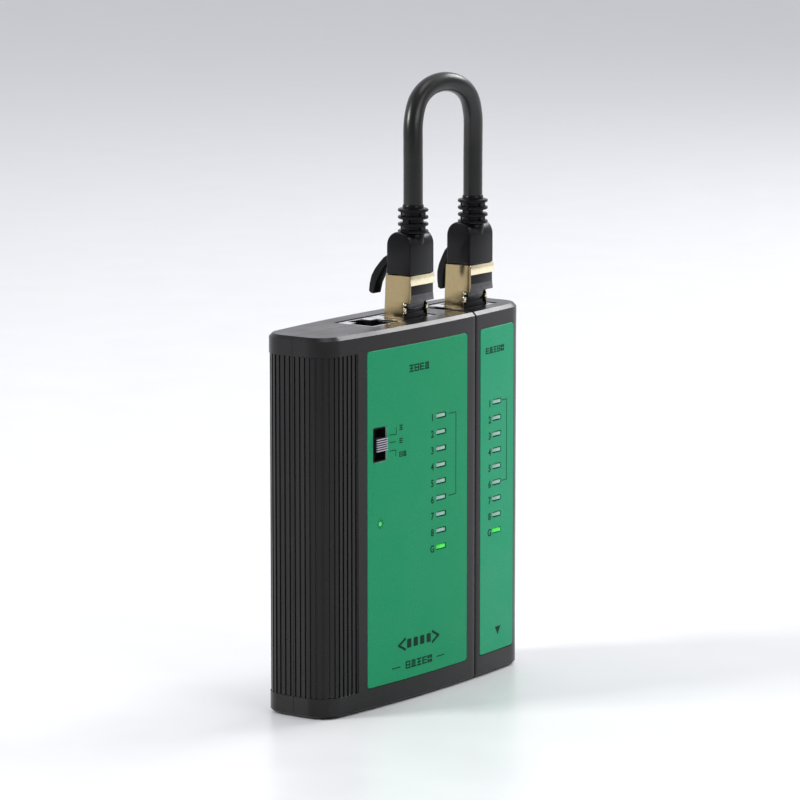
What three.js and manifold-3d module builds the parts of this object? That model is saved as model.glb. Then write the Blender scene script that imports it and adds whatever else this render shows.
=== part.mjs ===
// Network cable tester: a main unit, a detachable remote unit docked beside it on a rail,
// and a short shielded patch cord plugged across the two. Millimetres, +Z up. The origin is at
// the centre of the base; +X runs to the right along the front and +Y to the back.
import * as THREE from "three";
import { mergeVertices } from "three/addons/utils/BufferGeometryUtils.js";
import Module from "manifold-3d";

const wasm = await Module();
wasm.setup();

// ---------- driving dimensions ----------
const CASE_WIDTH = 98;
const CASE_DEPTH = 28;
const CASE_HEIGHT = 108.4;
const BOW_RADIUS = 415; // plan radius of the gently bowed front and back
const CORNER_RADIUS = 7.4;
const EDGE_CHAMFER = 1;
const WALL = 2;
const GAP = 0.3; // clearance between touching pieces
const SEAM_X = 20.9; // where the remote unit meets the main unit
const FAR = 60; // reaches past the case from any middle

const BOTTOM_BAND = 6; // plain bands above and below the ribs
const TOP_BAND = 5.5;
const RIB_PITCH = 1.75;
const RIB_GROOVE = 0.74;
const RIB_RECESS = 0.35;
const RIB_DEPTH = 0.85;
const RIBS_FROM = { left: -34.9, right: 44.5 }; // where the ribs start on the front

const PLATE = { bottom: 6.5, top: 103, corner: 1, inset: 0.1, thick: 0.6 };
const MAIN_PLATE = { x0: -31.2, x1: 16.2 };
const REMOTE_PLATE = { x0: 23.4, x1: 42.4 };
const LIGHT = { width: 4.4, height: 1.1, topZ: 80.75, pitch: 4.78, count: 9 };
const MAIN_LIGHT_X = 2.9;
const REMOTE_LIGHT_X = 32.65;
const POWER_LIGHT = { x: -25.6, z: 53.3, radius: 0.8 };
const SWITCH = { x: -25.65, z: 76, slotWidth: 5.6, slotHeight: 9.5 };
const KNOB = { width: 5, height: 3.9, proud: 1, ridges: 6 };

const JACK = { y0: -6.6, y1: 7, z0: 87, top: 108.2, wall: 0.4, width: 15.1 };
const REMOTE_JACK_WIDTH = 16.6;
const SOCKET = { halfWidth: 6.25, y0: -5.35, y1: 2.5, latchHalf: 3.3, latchY: 5.7, floor: 92.2 };
const FREE_JACK_X = -12.15;
const MAIN_JACK_X = 3.3;
const REMOTE_JACK_X = 33;

const PLUG = { width: 11.9, backY: 2.2, thickY: -6.95, thinY: -4.7, tip: 98.5, step: 113 };
const SHIELD_SHEET = 0.4;
const SHIELD_TOP = 120.6;
const BOOT_TOP = 133.3;
const BOOT_BACK = 1.35;
const RELIEF_TOP = 140.1;
// Side outline (y, z) of a latch cover at its widest stance, and how far each one is tucked in.
const COVER = {
  hinge: { y: 1.95, z: 125.8 },
  half: 1.7,
  tuck: { main: 0, remote: 16 },
  outline: [
    [1, 126.6],
    [1, 125.2],
    [1.65, 125.2],
    [2.4, 124.8],
    [3.3, 124.2],
    [4.25, 123.4],
    [5.7, 121.5],
    [7.1, 119.2],
    [8.1, 117.3],
    [8.6, 115.4],
    [8.9, 114.2],
    [10.1, 114.3],
    [10.8, 114.9],
    [10.5, 117.1],
    [9.85, 119.45],
    [8.6, 121.55],
    [7.1, 123.3],
    [5.5, 125],
    [3.7, 126.1],
    [2.6, 126.5],
    [1.65, 126.6],
  ],
};
const LEVER = {
  rootZ: 99.3,
  thick: 0.9,
  half: 1.5,
  wingHalf: 2.7,
  main: { topZ: 115.8, lean: 1.35 },
  remote: { topZ: 112.6, lean: 0.6 },
};
const CORD_Y = -3.8;
const CORD_DIAMETER = 5.6;
// The cord's own line as [x, y, z], from the main plug's strain relief over to the remote plug's.
const CORD_ROUTE = [
  [3.3, -3.8, 140.4],
  [3.3, -3.8, 146],
  [3.3, -3.8, 152],
  [3.4, -3.7, 158],
  [4.3, -3.2, 164.6],
  [7.3, -2.7, 170.2],
  [12.2, -2.9, 173.6],
  [18.15, -3.8, 174.8],
  [24.1, -4.7, 173.6],
  [29, -4.9, 170.2],
  [32, -4.4, 164.6],
  [32.9, -3.9, 158],
  [33, -3.8, 152],
  [33, -3.8, 146],
  [33, -3.8, 140.4],
];
const PLUG_X = { main: 3.3, remote: 33 };
const CONTACTS = { count: 8, pitch: 1.02 };
const contactX = (x, i) => x + (i - (CONTACTS.count - 1) / 2) * CONTACTS.pitch;

const MAIN_BOARD = { x0: -43, x1: 17.9, y0: -9.2, y1: -7.6 };
const REMOTE_BOARD = { x0: 24.6, x1: 43.6, y0: -8.6, y1: -7 };
const BOARD_Z = { z0: 4, z1: 105.4 };
const CHIP = { x: -17, z: 77, half: 5, thick: 1.6 };
const SWITCH_BODY = { half: 4, tall: 6, front: -10.9 };
const BATTERY = { x: -14.1, width: 26, y0: -5.9, y1: 11.2, z0: 10.6, body: 46.2, corner: 2 };
const TERMINAL = { height: 2.2, spread: 6.4, socket: 2.8, stud: 4 };
const SNAP = { half: 12.5, depth: 6, height: 2.6 };
// A battery lead's line as [y, z], out of the bay's notch and forward to the circuit board.
const LEAD = {
  x: { positive: -7.3, negative: -5.7 },
  radius: 0.55,
  route: [
    [1.4, 62.2],
    [0.6, 63.6],
    [-0.6, 65.6],
    [-3.4, 67],
    [-7.2, 67.2],
  ],
};
const BAY = { x0: -27.7, x1: -0.5, y0: -6.2, z0: 10.1, z1: 63, wall: 1.2 };
const DOOR = { x0: -29.6, x1: 1.4, z0: 8, z1: 66, thick: 1.6, hinge: { x: -28.7, y: 12, r: 0.9, pin: 0.5 } };
const LEDGE_DEPTH = 3.6; // how far the wall behind the battery door reaches in
const RAIL = { neck: 1.6, head: 2.6, neckHalf: 1.2, headHalf: 2.4, z0: 6, z1: 102 };
const RAIL_PEG = { half: 1.2, z0: 12.4, z1: 15.6 };
const RAIL_WALL = { reach: 3.2, half: 4.2 };
const MAIN_SCREWS = [
  [-37.5, 12.5],
  [-37.5, 96],
  [15, 12.5],
  [15, 96],
];
const REMOTE_SCREWS = [
  [39.8, 12.5],
  [39.8, 80],
];
const SCREW = { radius: 1.25, head: 2.3, headDepth: 1.7, length: 14, boss: 3, sunk: 0.3 };
const CROSS = { half: 1.3, width: 0.3, depth: 1.1 };

const MAIN_X = { x0: -FAR, x1: SEAM_X - GAP / 2 };
const REMOTE_X = { x0: SEAM_X + GAP / 2, x1: FAR };

// ---------- materials ----------
const material = (color, roughness, metalness = 0) =>
  new THREE.MeshStandardMaterial({ color, roughness, metalness });
const CASE_BLACK = material(0x2b2a2c, 0.55);
const PLATE_GREEN = material(0x2e9468, 0.6);
const BOARD_GREEN = material(0x1d4a32, 0.5);
const CLEAR = material(0xd8dcdc, 0.2);
const LIT_GREEN = material(0x35e03a, 0.3);
const STEEL = material(0xb9bbbd, 0.3, 1);
const GOLD = material(0xb39a66, 0.3, 1);
const CORD_BLACK = material(0x1c1c1e, 0.45);
const INSERT_GREY = material(0x2f3032, 0.4);
const KNOB_GREY = material(0xb9b9be, 0.5);
const BATTERY_WRAP = material(0x3a4a86, 0.4);
const LEAD_RED = material(0xb02020, 0.5);

// ---------- solids ----------
function toSolid(geometry) {
  const plain = geometry.clone();
  plain.deleteAttribute("normal");
  plain.deleteAttribute("uv");
  const merged = mergeVertices(plain, 1e-4);
  return new wasm.Manifold(
    new wasm.Mesh({
      numProp: 3,
      vertProperties: merged.attributes.position.array,
      triVerts: new Uint32Array(merged.index.array),
    }),
  );
}

function toGeometry(solid) {
  const mesh = solid.getMesh();
  const positions = new Float32Array(mesh.numVert * 3);
  for (let i = 0; i < mesh.numVert; i++) {
    const start = i * mesh.numProp;
    positions.set(mesh.vertProperties.subarray(start, start + 3), i * 3);
  }
  const geometry = new THREE.BufferGeometry();
  geometry.setAttribute("position", new THREE.BufferAttribute(positions, 3));
  geometry.setIndex(new THREE.BufferAttribute(mesh.triVerts, 1));
  geometry.computeVertexNormals();
  return geometry;
}

const join = (first, ...rest) => rest.reduce((sum, part) => sum.add(part), first);
const cut = (first, ...rest) => rest.reduce((sum, part) => sum.subtract(part), first);
const shapeOf = (points) => new THREE.Shape(points.map(([a, b]) => new THREE.Vector2(a, b)));

function extruded(points, depth) {
  return new THREE.ExtrudeGeometry(shapeOf(points), { depth, bevelEnabled: false, curveSegments: 1 });
}

// A plan outline (x, y) raised from z0 to z1.
function prism(points, z0, z1) {
  return toSolid(extruded(points, z1 - z0).translate(0, 0, z0));
}

// A front outline (x, z) taken from y0 back to y1.
function frontPrism(points, y0, y1) {
  return toSolid(extruded(points, y1 - y0).rotateX(Math.PI / 2).translate(0, y1, 0));
}

// A side outline (y, z) taken from x0 to x1.
function sidePrism(points, x0, x1) {
  const turn = new THREE.Matrix4().set(0, 0, 1, x0, 1, 0, 0, 0, 0, 1, 0, 0, 0, 0, 0, 1);
  return toSolid(extruded(points, x1 - x0).applyMatrix4(turn));
}

function box(x0, x1, y0, y1, z0, z1) {
  const geometry = new THREE.BoxGeometry(x1 - x0, y1 - y0, z1 - z0);
  return toSolid(geometry.translate((x0 + x1) / 2, (y0 + y1) / 2, (z0 + z1) / 2));
}

// A round rod between two points.
function rod(radius, from, to, sides = 16) {
  const a = new THREE.Vector3(...from);
  const b = new THREE.Vector3(...to);
  const geometry = new THREE.CylinderGeometry(radius, radius, a.distanceTo(b), sides);
  const along = b.clone().sub(a).normalize();
  geometry.applyQuaternion(new THREE.Quaternion().setFromUnitVectors(new THREE.Vector3(0, 1, 0), along));
  const middle = a.add(b).multiplyScalar(0.5);
  return toSolid(geometry.translate(middle.x, middle.y, middle.z));
}

function roundedRect(a0, a1, b0, b1, radius, steps = 3) {
  const corners = [
    [a1 - radius, b0 + radius, -90],
    [a1 - radius, b1 - radius, 0],
    [a0 + radius, b1 - radius, 90],
    [a0 + radius, b0 + radius, 180],
  ];
  return corners.flatMap(([a, b, start]) =>
    Array.from({ length: steps + 1 }, (_, i) => {
      const angle = ((start + (90 * i) / steps) * Math.PI) / 180;
      return [a + radius * Math.cos(angle), b + radius * Math.sin(angle)];
    }),
  );
}

// ---------- plan of the case ----------
// One quarter runs from the middle of the front (s = 0) along the bow, round the corner and
// back to the middle of the right side.
const BOW_ANGLE = Math.asin((CASE_WIDTH / 2 - CORNER_RADIUS) / (BOW_RADIUS - CORNER_RADIUS));
const CORNER_X = CASE_WIDTH / 2 - CORNER_RADIUS;
const CORNER_Y = (BOW_RADIUS - CORNER_RADIUS) * Math.cos(BOW_ANGLE) - BOW_RADIUS + CASE_DEPTH / 2;
const BOW_LENGTH = BOW_RADIUS * BOW_ANGLE;
const TURN_LENGTH = CORNER_RADIUS * (Math.PI / 2 - BOW_ANGLE);
const QUARTER = BOW_LENGTH + TURN_LENGTH + CORNER_Y;

// The point and outward normal at length s along the quarter.
function quarterPoint(s) {
  if (s <= BOW_LENGTH) {
    const a = s / BOW_RADIUS;
    const y = BOW_RADIUS - CASE_DEPTH / 2 - BOW_RADIUS * Math.cos(a);
    return { x: BOW_RADIUS * Math.sin(a), y, nx: Math.sin(a), ny: -Math.cos(a) };
  }
  if (s <= BOW_LENGTH + TURN_LENGTH) {
    const a = BOW_ANGLE + (s - BOW_LENGTH) / CORNER_RADIUS;
    const nx = Math.sin(a);
    const ny = -Math.cos(a);
    return { x: CORNER_X + CORNER_RADIUS * nx, y: -CORNER_Y + CORNER_RADIUS * ny, nx, ny };
  }
  return { x: CASE_WIDTH / 2, y: -CORNER_Y + (s - BOW_LENGTH - TURN_LENGTH), nx: 1, ny: 0 };
}

const PLAIN_STATIONS = [
  ...Array.from({ length: 6 }, (_, i) => (BOW_LENGTH * i) / 6),
  ...Array.from({ length: 6 }, (_, i) => BOW_LENGTH + (TURN_LENGTH * i) / 5),
];

// The whole outline, anticlockwise; each side gives its own list of [s, inset] pairs.
function outline(right, left = right) {
  const place = (list, sx, sy) =>
    list.map(([s, inset]) => {
      const p = quarterPoint(s);
      return [sx * (p.x - inset * p.nx), sy * (p.y - inset * p.ny)];
    });
  const rightBack = place(right, 1, -1).reverse();
  const leftFront = place(left, -1, 1).reverse();
  const points = [...place(right, 1, 1), ...rightBack, ...place(left, -1, -1), ...leftFront];
  return points.filter(([x, y], i) => {
    const [px, py] = points[(i + points.length - 1) % points.length];
    return Math.hypot(x - px, y - py) > 1e-3;
  });
}

const plan = (inset) => outline(PLAIN_STATIONS.map((s) => [s, inset]));

// Stations of one side with its ribs: grooves are spaced out from the middle of the side.
function ribbedStations(startX) {
  const clear = -0.5;
  const starts = PLAIN_STATIONS.filter((s) => quarterPoint(s).x < Math.abs(startX) - 0.2);
  const grooves = [];
  const lip = RIB_GROOVE / 2;
  const floor = RIB_GROOVE / 2 - 0.05;
  for (let s = QUARTER - RIB_PITCH / 2; quarterPoint(s - RIB_GROOVE).x > Math.abs(startX); s -= RIB_PITCH) {
    grooves.unshift(
      [s - lip, RIB_RECESS],
      [s - floor, RIB_DEPTH],
      [s + floor, RIB_DEPTH],
      [s + lip, RIB_RECESS],
    );
  }
  const first = grooves[0][0] - RIB_PITCH / 2;
  const plain = starts.filter((s) => s < first - 0.1).map((s) => [s, clear]);
  return [...plain, [first - 0.02, clear], [first, RIB_RECESS], ...grooves, [QUARTER, RIB_RECESS]];
}

const CASE_BLOCK = toSolid(
  new THREE.ExtrudeGeometry(shapeOf(plan(0)), {
    depth: CASE_HEIGHT - 2 * EDGE_CHAMFER,
    bevelThickness: EDGE_CHAMFER,
    bevelSize: EDGE_CHAMFER,
    bevelOffset: -EDGE_CHAMFER,
    bevelSegments: 1,
  }).translate(0, 0, EDGE_CHAMFER),
);
const RIB_CUTTER = cut(
  prism(plan(-3), BOTTOM_BAND, CASE_HEIGHT - TOP_BAND),
  prism(
    outline(ribbedStations(RIBS_FROM.right), ribbedStations(RIBS_FROM.left)),
    BOTTOM_BAND - 1,
    CASE_HEIGHT - TOP_BAND + 1,
  ),
);
const RIBBED_CASE = cut(CASE_BLOCK, RIB_CUTTER);

const slab = ({ x0, x1 }, z0 = -1, z1 = CASE_HEIGHT + 1) => box(x0, x1, -FAR, FAR, z0, z1);
const FRONT_HALF = box(-FAR, FAR, -FAR, -GAP / 2, -1, CASE_HEIGHT + 1);
const BACK_HALF = box(-FAR, FAR, GAP / 2, FAR, -1, CASE_HEIGHT + 1);

// The skin between two depths below the case's surface.
function skin(outer, inner, z0 = -1, z1 = CASE_HEIGHT + 1) {
  return cut(prism(plan(outer), z0, z1), prism(plan(inner), z0 - 1, z1 + 1));
}

// ---------- what both units share ----------
const lightZ = (index) => LIGHT.topZ - index * LIGHT.pitch;

// The slots of a column of indicator lights, grown by a clearance.
function lightSlots(x, clearance, y0 = -20, y1 = -8) {
  const half = { w: LIGHT.width / 2 + clearance, h: LIGHT.height / 2 + clearance };
  return Array.from({ length: LIGHT.count }, (_, i) =>
    box(x - half.w, x + half.w, y0, y1, lightZ(i) - half.h, lightZ(i) + half.h),
  );
}

function plateOutline({ x0, x1 }, grow) {
  return roundedRect(x0 - grow, x1 + grow, PLATE.bottom - grow, PLATE.top + grow, PLATE.corner + grow);
}

function faceplate(range, lightX, ...windows) {
  const sheet = skin(PLATE.inset, PLATE.inset + PLATE.thick).intersect(
    frontPrism(plateOutline(range, 0), -20, -5),
  );
  return cut(sheet, ...lightSlots(lightX, GAP), ...windows);
}

function plateRecess(range) {
  const depth = PLATE.inset + PLATE.thick + GAP;
  return skin(-1, depth).intersect(frontPrism(plateOutline(range, 0.2), -20, -5));
}

function screwHoles(positions, backFace) {
  return positions.flatMap(([x, z]) => [
    rod(SCREW.radius + GAP, [x, backFace - SCREW.length - 1, z], [x, 20, z], 12),
    rod(SCREW.head + GAP, [x, backFace - SCREW.headDepth - GAP, z], [x, 20, z], 16),
  ]);
}

function screw([x, z], backFace) {
  const { radius, length, head, headDepth, sunk } = SCREW;
  const { half, width, depth } = CROSS;
  const y = backFace - depth;
  const driver = cut(
    rod(head, [x, backFace - headDepth, z], [x, backFace - sunk, z], 16),
    box(x - half, x + half, y, backFace + 1, z - width, z + width),
    box(x - width, x + width, y, backFace + 1, z - half, z + half),
  );
  const shank = rod(radius, [x, backFace - length, z], [x, backFace - headDepth + 0.1, z], 12);
  return join(driver, shank);
}

const mainBackFace = CASE_DEPTH / 2 - 2.6;
const remoteBackFace = CASE_DEPTH / 2 - 2.2;
// Screw posts from y0 to y1, trimmed just inside the case's surface.
function posts(positions, y0, y1) {
  const rods = positions.map(([x, z]) => rod(SCREW.boss, [x, y0, z], [x, y1, z], 16));
  return join(...rods).intersect(prism(plan(PLATE.inset + PLATE.thick + GAP), 1, CASE_HEIGHT - 1));
}

// The mouth in the top face for a jack that is centred at x.
const jackMouth = (x0, x1) => box(x0, x1, JACK.y0 - GAP, JACK.y1 + GAP, JACK.top - 8, CASE_HEIGHT + 1);

// The keyed plug socket: a wide part for the plug and a narrow channel for its latch.
function socketOutline(x, grow) {
  const { halfWidth, y0, y1, latchHalf, latchY } = SOCKET;
  return [
    [x - halfWidth - grow, y0 - grow],
    [x + halfWidth + grow, y0 - grow],
    [x + halfWidth + grow, y1 + grow],
    [x + latchHalf + grow, y1 + grow],
    [x + latchHalf + grow, latchY + grow],
    [x - latchHalf - grow, latchY + grow],
    [x - latchHalf - grow, y1 + grow],
    [x - halfWidth - grow, y1 + grow],
  ];
}

function jackShield(x, width) {
  const half = width / 2;
  const w = JACK.wall;
  return cut(
    box(x - half, x + half, JACK.y0, JACK.y1, JACK.z0, JACK.top),
    box(x - half + w, x + half - w, JACK.y0 + w, JACK.y1 - w, JACK.z0 - 1, JACK.top - w),
    prism(socketOutline(x, 0.05), JACK.top - 1, JACK.top + 1),
  );
}

function jackHousing(x) {
  const half = JACK.width / 2 - JACK.wall - GAP;
  return cut(
    box(x - half, x + half, JACK.y0 + JACK.wall + 0.15, JACK.y1 - 0.7, JACK.z0 + 0.4, JACK.top - 0.7),
    prism(socketOutline(x, 0), SOCKET.floor, JACK.top + 1),
  );
}

// Eight contact wires rising from one carrier strip at the foot of the socket.
function jackContacts(x) {
  const strip = box(x - 5, x + 5, -4.6, -1.4, SOCKET.floor + GAP, SOCKET.floor + 1.2);
  const wires = Array.from({ length: CONTACTS.count }, (_, i) => {
    const wx = contactX(x, i);
    return sidePrism(
      [
        [-4.4, SOCKET.floor + 1],
        [-3.6, SOCKET.floor + 1],
        [-2.2, 97.8],
        [-2.8, 98],
      ],
      wx - 0.2,
      wx + 0.2,
    );
  });
  return join(strip, ...wires);
}

// ---------- main unit ----------
const switchSlot = box(
  SWITCH.x - SWITCH.slotWidth / 2,
  SWITCH.x + SWITCH.slotWidth / 2,
  -20,
  -8,
  SWITCH.z - SWITCH.slotHeight / 2,
  SWITCH.z + SWITCH.slotHeight / 2,
);
const powerHole = (grow) =>
  rod(POWER_LIGHT.radius + grow, [POWER_LIGHT.x, -20, POWER_LIGHT.z], [POWER_LIGHT.x, -8, POWER_LIGHT.z], 12);
const MAIN_BLOCK = RIBBED_CASE.intersect(slab(MAIN_X));
const MAIN_INSIDE = prism(plan(WALL), WALL, CASE_HEIGHT - WALL).intersect(
  box(-FAR, MAIN_X.x1 - WALL, -FAR, FAR, 0, CASE_HEIGHT),
);
const mainMouth = jackMouth(FREE_JACK_X - JACK.width / 2 - GAP, MAIN_JACK_X + JACK.width / 2 + GAP);

function mainFrontShell() {
  const shell = cut(
    MAIN_BLOCK.intersect(FRONT_HALF),
    MAIN_INSIDE,
    plateRecess(MAIN_PLATE),
    ...lightSlots(MAIN_LIGHT_X, GAP),
    switchSlot,
    powerHole(GAP),
    mainMouth,
  );
  const withPosts = join(shell, posts(MAIN_SCREWS, -14, -GAP / 2));
  return cut(withPosts, ...screwHoles(MAIN_SCREWS, mainBackFace), dockHoles());
}

// Holes through the main unit's side wall for the pegs that hold the docking rail.
function dockHoles() {
  const { half, z0, z1 } = RAIL_PEG;
  const room = 0.4;
  return box(MAIN_X.x1 - WALL - 1, MAIN_X.x1 + 1, -half - room, half + room, z0 - room, z1 + room);
}

// The well that the battery door drops into, with room for its hinge barrel and end pins.
function doorWell() {
  const { hinge } = DOOR;
  const opening = box(DOOR.x0 - GAP, DOOR.x1 + GAP, 0, FAR, DOOR.z0 - GAP, DOOR.z1 + GAP);
  const barrel = rod(hinge.r + GAP, [hinge.x, hinge.y, DOOR.z0 - GAP], [hinge.x, hinge.y, DOOR.z1 + GAP], 20);
  const pins = rod(hinge.pin + GAP, [hinge.x, hinge.y, DOOR.z0 - 1.6], [hinge.x, hinge.y, DOOR.z1 + 1.6], 12);
  return join(skin(-1, DOOR.thick + GAP).intersect(opening), barrel, pins);
}

function mainRearShell() {
  const ledgeZone = box(DOOR.x0 - 3, DOOR.x1 + 3, 0, FAR, DOOR.z0 - 4, DOOR.z1 + 3);
  const ledge = skin(0.5, LEDGE_DEPTH).intersect(ledgeZone).intersect(box(-40, 10, 5, FAR, 0.5, CASE_HEIGHT));
  const { x0, x1, y0, z0, z1, wall } = BAY;
  const bay = box(x0 - wall, x1 + wall, y0 - wall, 11.5, z0 - wall, z1 + wall);
  const shell = cut(MAIN_BLOCK.intersect(BACK_HALF), MAIN_INSIDE, mainMouth);
  return cut(
    join(shell, ledge, bay, posts(MAIN_SCREWS, GAP / 2, 14)),
    box(x0, x1, y0, FAR, z0, z1),
    doorWell(),
    box(-8, -5, -3, 3, z1 - 1, z1 + 3),
    ...screwHoles(MAIN_SCREWS, mainBackFace),
    dockHoles(),
  );
}

function batteryDoor() {
  const { x0, x1, z0, z1, thick, hinge } = DOOR;
  const panel = skin(0, thick).intersect(box(hinge.x, x1, 0, FAR, z0, z1));
  const barrel = rod(hinge.r, [hinge.x, hinge.y, z0], [hinge.x, hinge.y, z1], 20);
  const pins = rod(hinge.pin, [hinge.x, hinge.y, z0 - 1.3], [hinge.x, hinge.y, z1 + 1.3], 12);
  const finger = rod(7, [x1 + 3.4, 18.6, 37], [x1 + 3.4, 10, 37], 24).intersect(skin(-1, 0.8));
  return cut(join(panel, barrel, pins), finger).intersect(box(x0 - 1, FAR, 0, FAR, 0, CASE_HEIGHT));
}

function battery() {
  const { x, width, y0, y1, z0, body, corner } = BATTERY;
  const { height, spread, socket, stud } = TERMINAL;
  const can = prism(roundedRect(x - width / 2, x + width / 2, y0, y1, corner), z0, z0 + body);
  const top = z0 + body;
  const middle = (y0 + y1) / 2;
  const positive = rod(socket, [x - spread, middle, top - 0.5], [x - spread, middle, top + height], 16);
  const negative = rod(stud, [x + spread, middle, top - 0.5], [x + spread, middle, top + height], 6);
  return join(can, positive, negative);
}

function batterySnap() {
  const { x, y0, y1, z0, body, corner } = BATTERY;
  const { half, depth, height } = SNAP;
  const low = z0 + body + TERMINAL.height + GAP;
  const middle = (y0 + y1) / 2;
  return prism(roundedRect(x - half, x + half, middle - depth, middle + depth, corner), low, low + height);
}

function batteryLead(x) {
  const route = new THREE.CatmullRomCurve3(LEAD.route.map(([y, z]) => new THREE.Vector3(x, y, z)));
  const section = new THREE.Shape().absarc(0, 0, LEAD.radius, 0, 2 * Math.PI);
  return toSolid(new THREE.ExtrudeGeometry(section, { extrudePath: route, steps: 12, curveSegments: 4 }));
}

// A circuit board with its column of light chips, notched round the screw posts.
function circuitBoard({ x0, x1, y0, y1 }, lightX, screws) {
  const sheet = box(x0, x1, y0, y1, BOARD_Z.z0, BOARD_Z.z1);
  const notches = screws.map(([x, z]) => rod(SCREW.boss + 0.4, [x, -20, z], [x, 0, z], 16));
  const chips = Array.from({ length: LIGHT.count }, (_, i) =>
    box(lightX - 1, lightX + 1, y0 - 0.6, y0 + 0.2, lightZ(i) - 0.5, lightZ(i) + 0.5),
  );
  return cut(join(sheet, ...chips), ...notches);
}

// Light bars on a common strip; the lowest window, for the shield line, has a lens of its own.
function lightGuide(x, surfaceY, board) {
  const last = LIGHT.count - 2;
  const strip = box(x - 0.9, x + 0.9, board.y0 - 1.6, board.y0 - 0.9, lightZ(last) - 1, lightZ(0) + 1);
  const bars = Array.from({ length: last + 1 }, (_, i) => lightBar(x, surfaceY, board, i));
  return join(strip, ...bars);
}

function lightBar(x, surfaceY, board, index) {
  const half = { w: LIGHT.width / 2, h: LIGHT.height / 2 };
  const z = lightZ(index);
  return box(x - half.w, x + half.w, surfaceY + 0.25, board.y0 - 0.9, z - half.h, z + half.h);
}

function knob() {
  const surfaceY = -13.2;
  const front = surfaceY - KNOB.proud;
  const half = { w: KNOB.width / 2, h: KNOB.height / 2 };
  const block = box(SWITCH.x - half.w, SWITCH.x + half.w, front, -11.2, SWITCH.z - half.h, SWITCH.z + half.h);
  const pitch = KNOB.height / KNOB.ridges;
  const grooves = Array.from({ length: KNOB.ridges - 1 }, (_, i) => {
    const z = SWITCH.z - half.h + (i + 1) * pitch;
    return box(SWITCH.x - 5, SWITCH.x + 5, front - 1, front + 0.5, z - 0.16, z + 0.16);
  });
  return cut(block, ...grooves);
}

function powerLens() {
  const { x, z, radius } = POWER_LIGHT;
  return rod(radius, [x, -12.95, z], [x, MAIN_BOARD.y0 - GAP, z], 12);
}

function switchHousing() {
  const { x, z } = SWITCH;
  const { half, tall, front } = SWITCH_BODY;
  return box(x - half, x + half, front, MAIN_BOARD.y0 - GAP, z - tall, z + tall);
}

function controllerChip() {
  const { x, z, half, thick } = CHIP;
  const y = MAIN_BOARD.y1 + GAP;
  return box(x - half, x + half, y, y + thick, z - half, z + half);
}

// The T-shaped rail on the main unit's side that the remote unit slides along.
function dockRail() {
  const x0 = MAIN_X.x1 + GAP;
  const { neck, head, neckHalf, headHalf, z0, z1 } = RAIL;
  const section = [
    [x0, -neckHalf],
    [x0 + neck - 0.3, -neckHalf],
    [x0 + neck - 0.3, -headHalf],
    [x0 + head - 0.3, -headHalf],
    [x0 + head - 0.3, headHalf],
    [x0 + neck - 0.3, headHalf],
    [x0 + neck - 0.3, neckHalf],
    [x0, neckHalf],
  ];
  const peg = box(MAIN_X.x1 - WALL - 0.5, x0 + 0.5, -RAIL_PEG.half, RAIL_PEG.half, RAIL_PEG.z0, RAIL_PEG.z1);
  return join(prism(section, z0, z1), peg);
}

// ---------- remote unit ----------
const REMOTE_BLOCK = RIBBED_CASE.intersect(slab(REMOTE_X));
function railHousing() {
  const { reach, half } = RAIL_WALL;
  return box(REMOTE_X.x0, REMOTE_X.x0 + reach, -half, half, 0.5, CASE_HEIGHT - 0.5);
}
const REMOTE_INSIDE = prism(plan(WALL), WALL, CASE_HEIGHT - WALL).intersect(
  box(REMOTE_X.x0 + WALL, FAR, -FAR, FAR, 0, CASE_HEIGHT),
);
const remoteMouthHalf = REMOTE_JACK_WIDTH / 2 + GAP;
const remoteMouth = jackMouth(REMOTE_JACK_X - remoteMouthHalf, REMOTE_JACK_X + remoteMouthHalf);

// The slot for the rail, open to the side and at the top so that the rail can leave upwards.
function railSlot() {
  const { neck, head, neckHalf, headHalf, z0 } = RAIL;
  const x0 = REMOTE_X.x0;
  return join(
    box(x0 - 1, x0 + neck, -neckHalf - GAP, neckHalf + GAP, z0 - GAP, CASE_HEIGHT + 1),
    box(x0 + neck - 0.6, x0 + head, -headHalf - GAP, headHalf + GAP, z0 - GAP, CASE_HEIGHT + 1),
  );
}

function remoteFrontShell() {
  const hollow = cut(REMOTE_BLOCK.intersect(FRONT_HALF), REMOTE_INSIDE);
  const walls = join(hollow, railHousing().intersect(FRONT_HALF));
  const slots = lightSlots(REMOTE_LIGHT_X, GAP);
  const shell = cut(walls, plateRecess(REMOTE_PLATE), ...slots, remoteMouth, railSlot());
  const withPosts = join(shell, posts(REMOTE_SCREWS, -14, -GAP / 2));
  return cut(withPosts, ...screwHoles(REMOTE_SCREWS, remoteBackFace));
}

function remoteRearShell() {
  const hollow = cut(REMOTE_BLOCK.intersect(BACK_HALF), REMOTE_INSIDE);
  const walls = join(hollow, railHousing().intersect(BACK_HALF));
  const withPosts = join(walls, posts(REMOTE_SCREWS, GAP / 2, 14));
  return cut(withPosts, remoteMouth, railSlot(), ...screwHoles(REMOTE_SCREWS, remoteBackFace));
}

// ---------- patch cord ----------
// The gold shield: a full sleeve over the thick rear of the plug and a channel round its nose.
function plugShield(x) {
  const half = PLUG.width / 2;
  const w = SHIELD_SHEET;
  const { backY, thickY, thinY, step } = PLUG;
  const sleeve = join(
    box(x - half, x + half, thickY, backY, step, SHIELD_TOP),
    box(x - half, x + half, thinY, backY, PLUG.tip + 2, step + 0.5),
  );
  return cut(
    sleeve,
    box(x - half + w, x + half - w, thickY + w, backY - w, step + 0.4, SHIELD_TOP + 1),
    box(x - half + w, x + half - w, thinY - 1, backY - w, PLUG.tip - 1, step + 1),
    box(x - half + 1.2, x + half - 1.2, thickY - 1, thickY + 1, step - 1, SHIELD_TOP - 3),
  );
}

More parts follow.
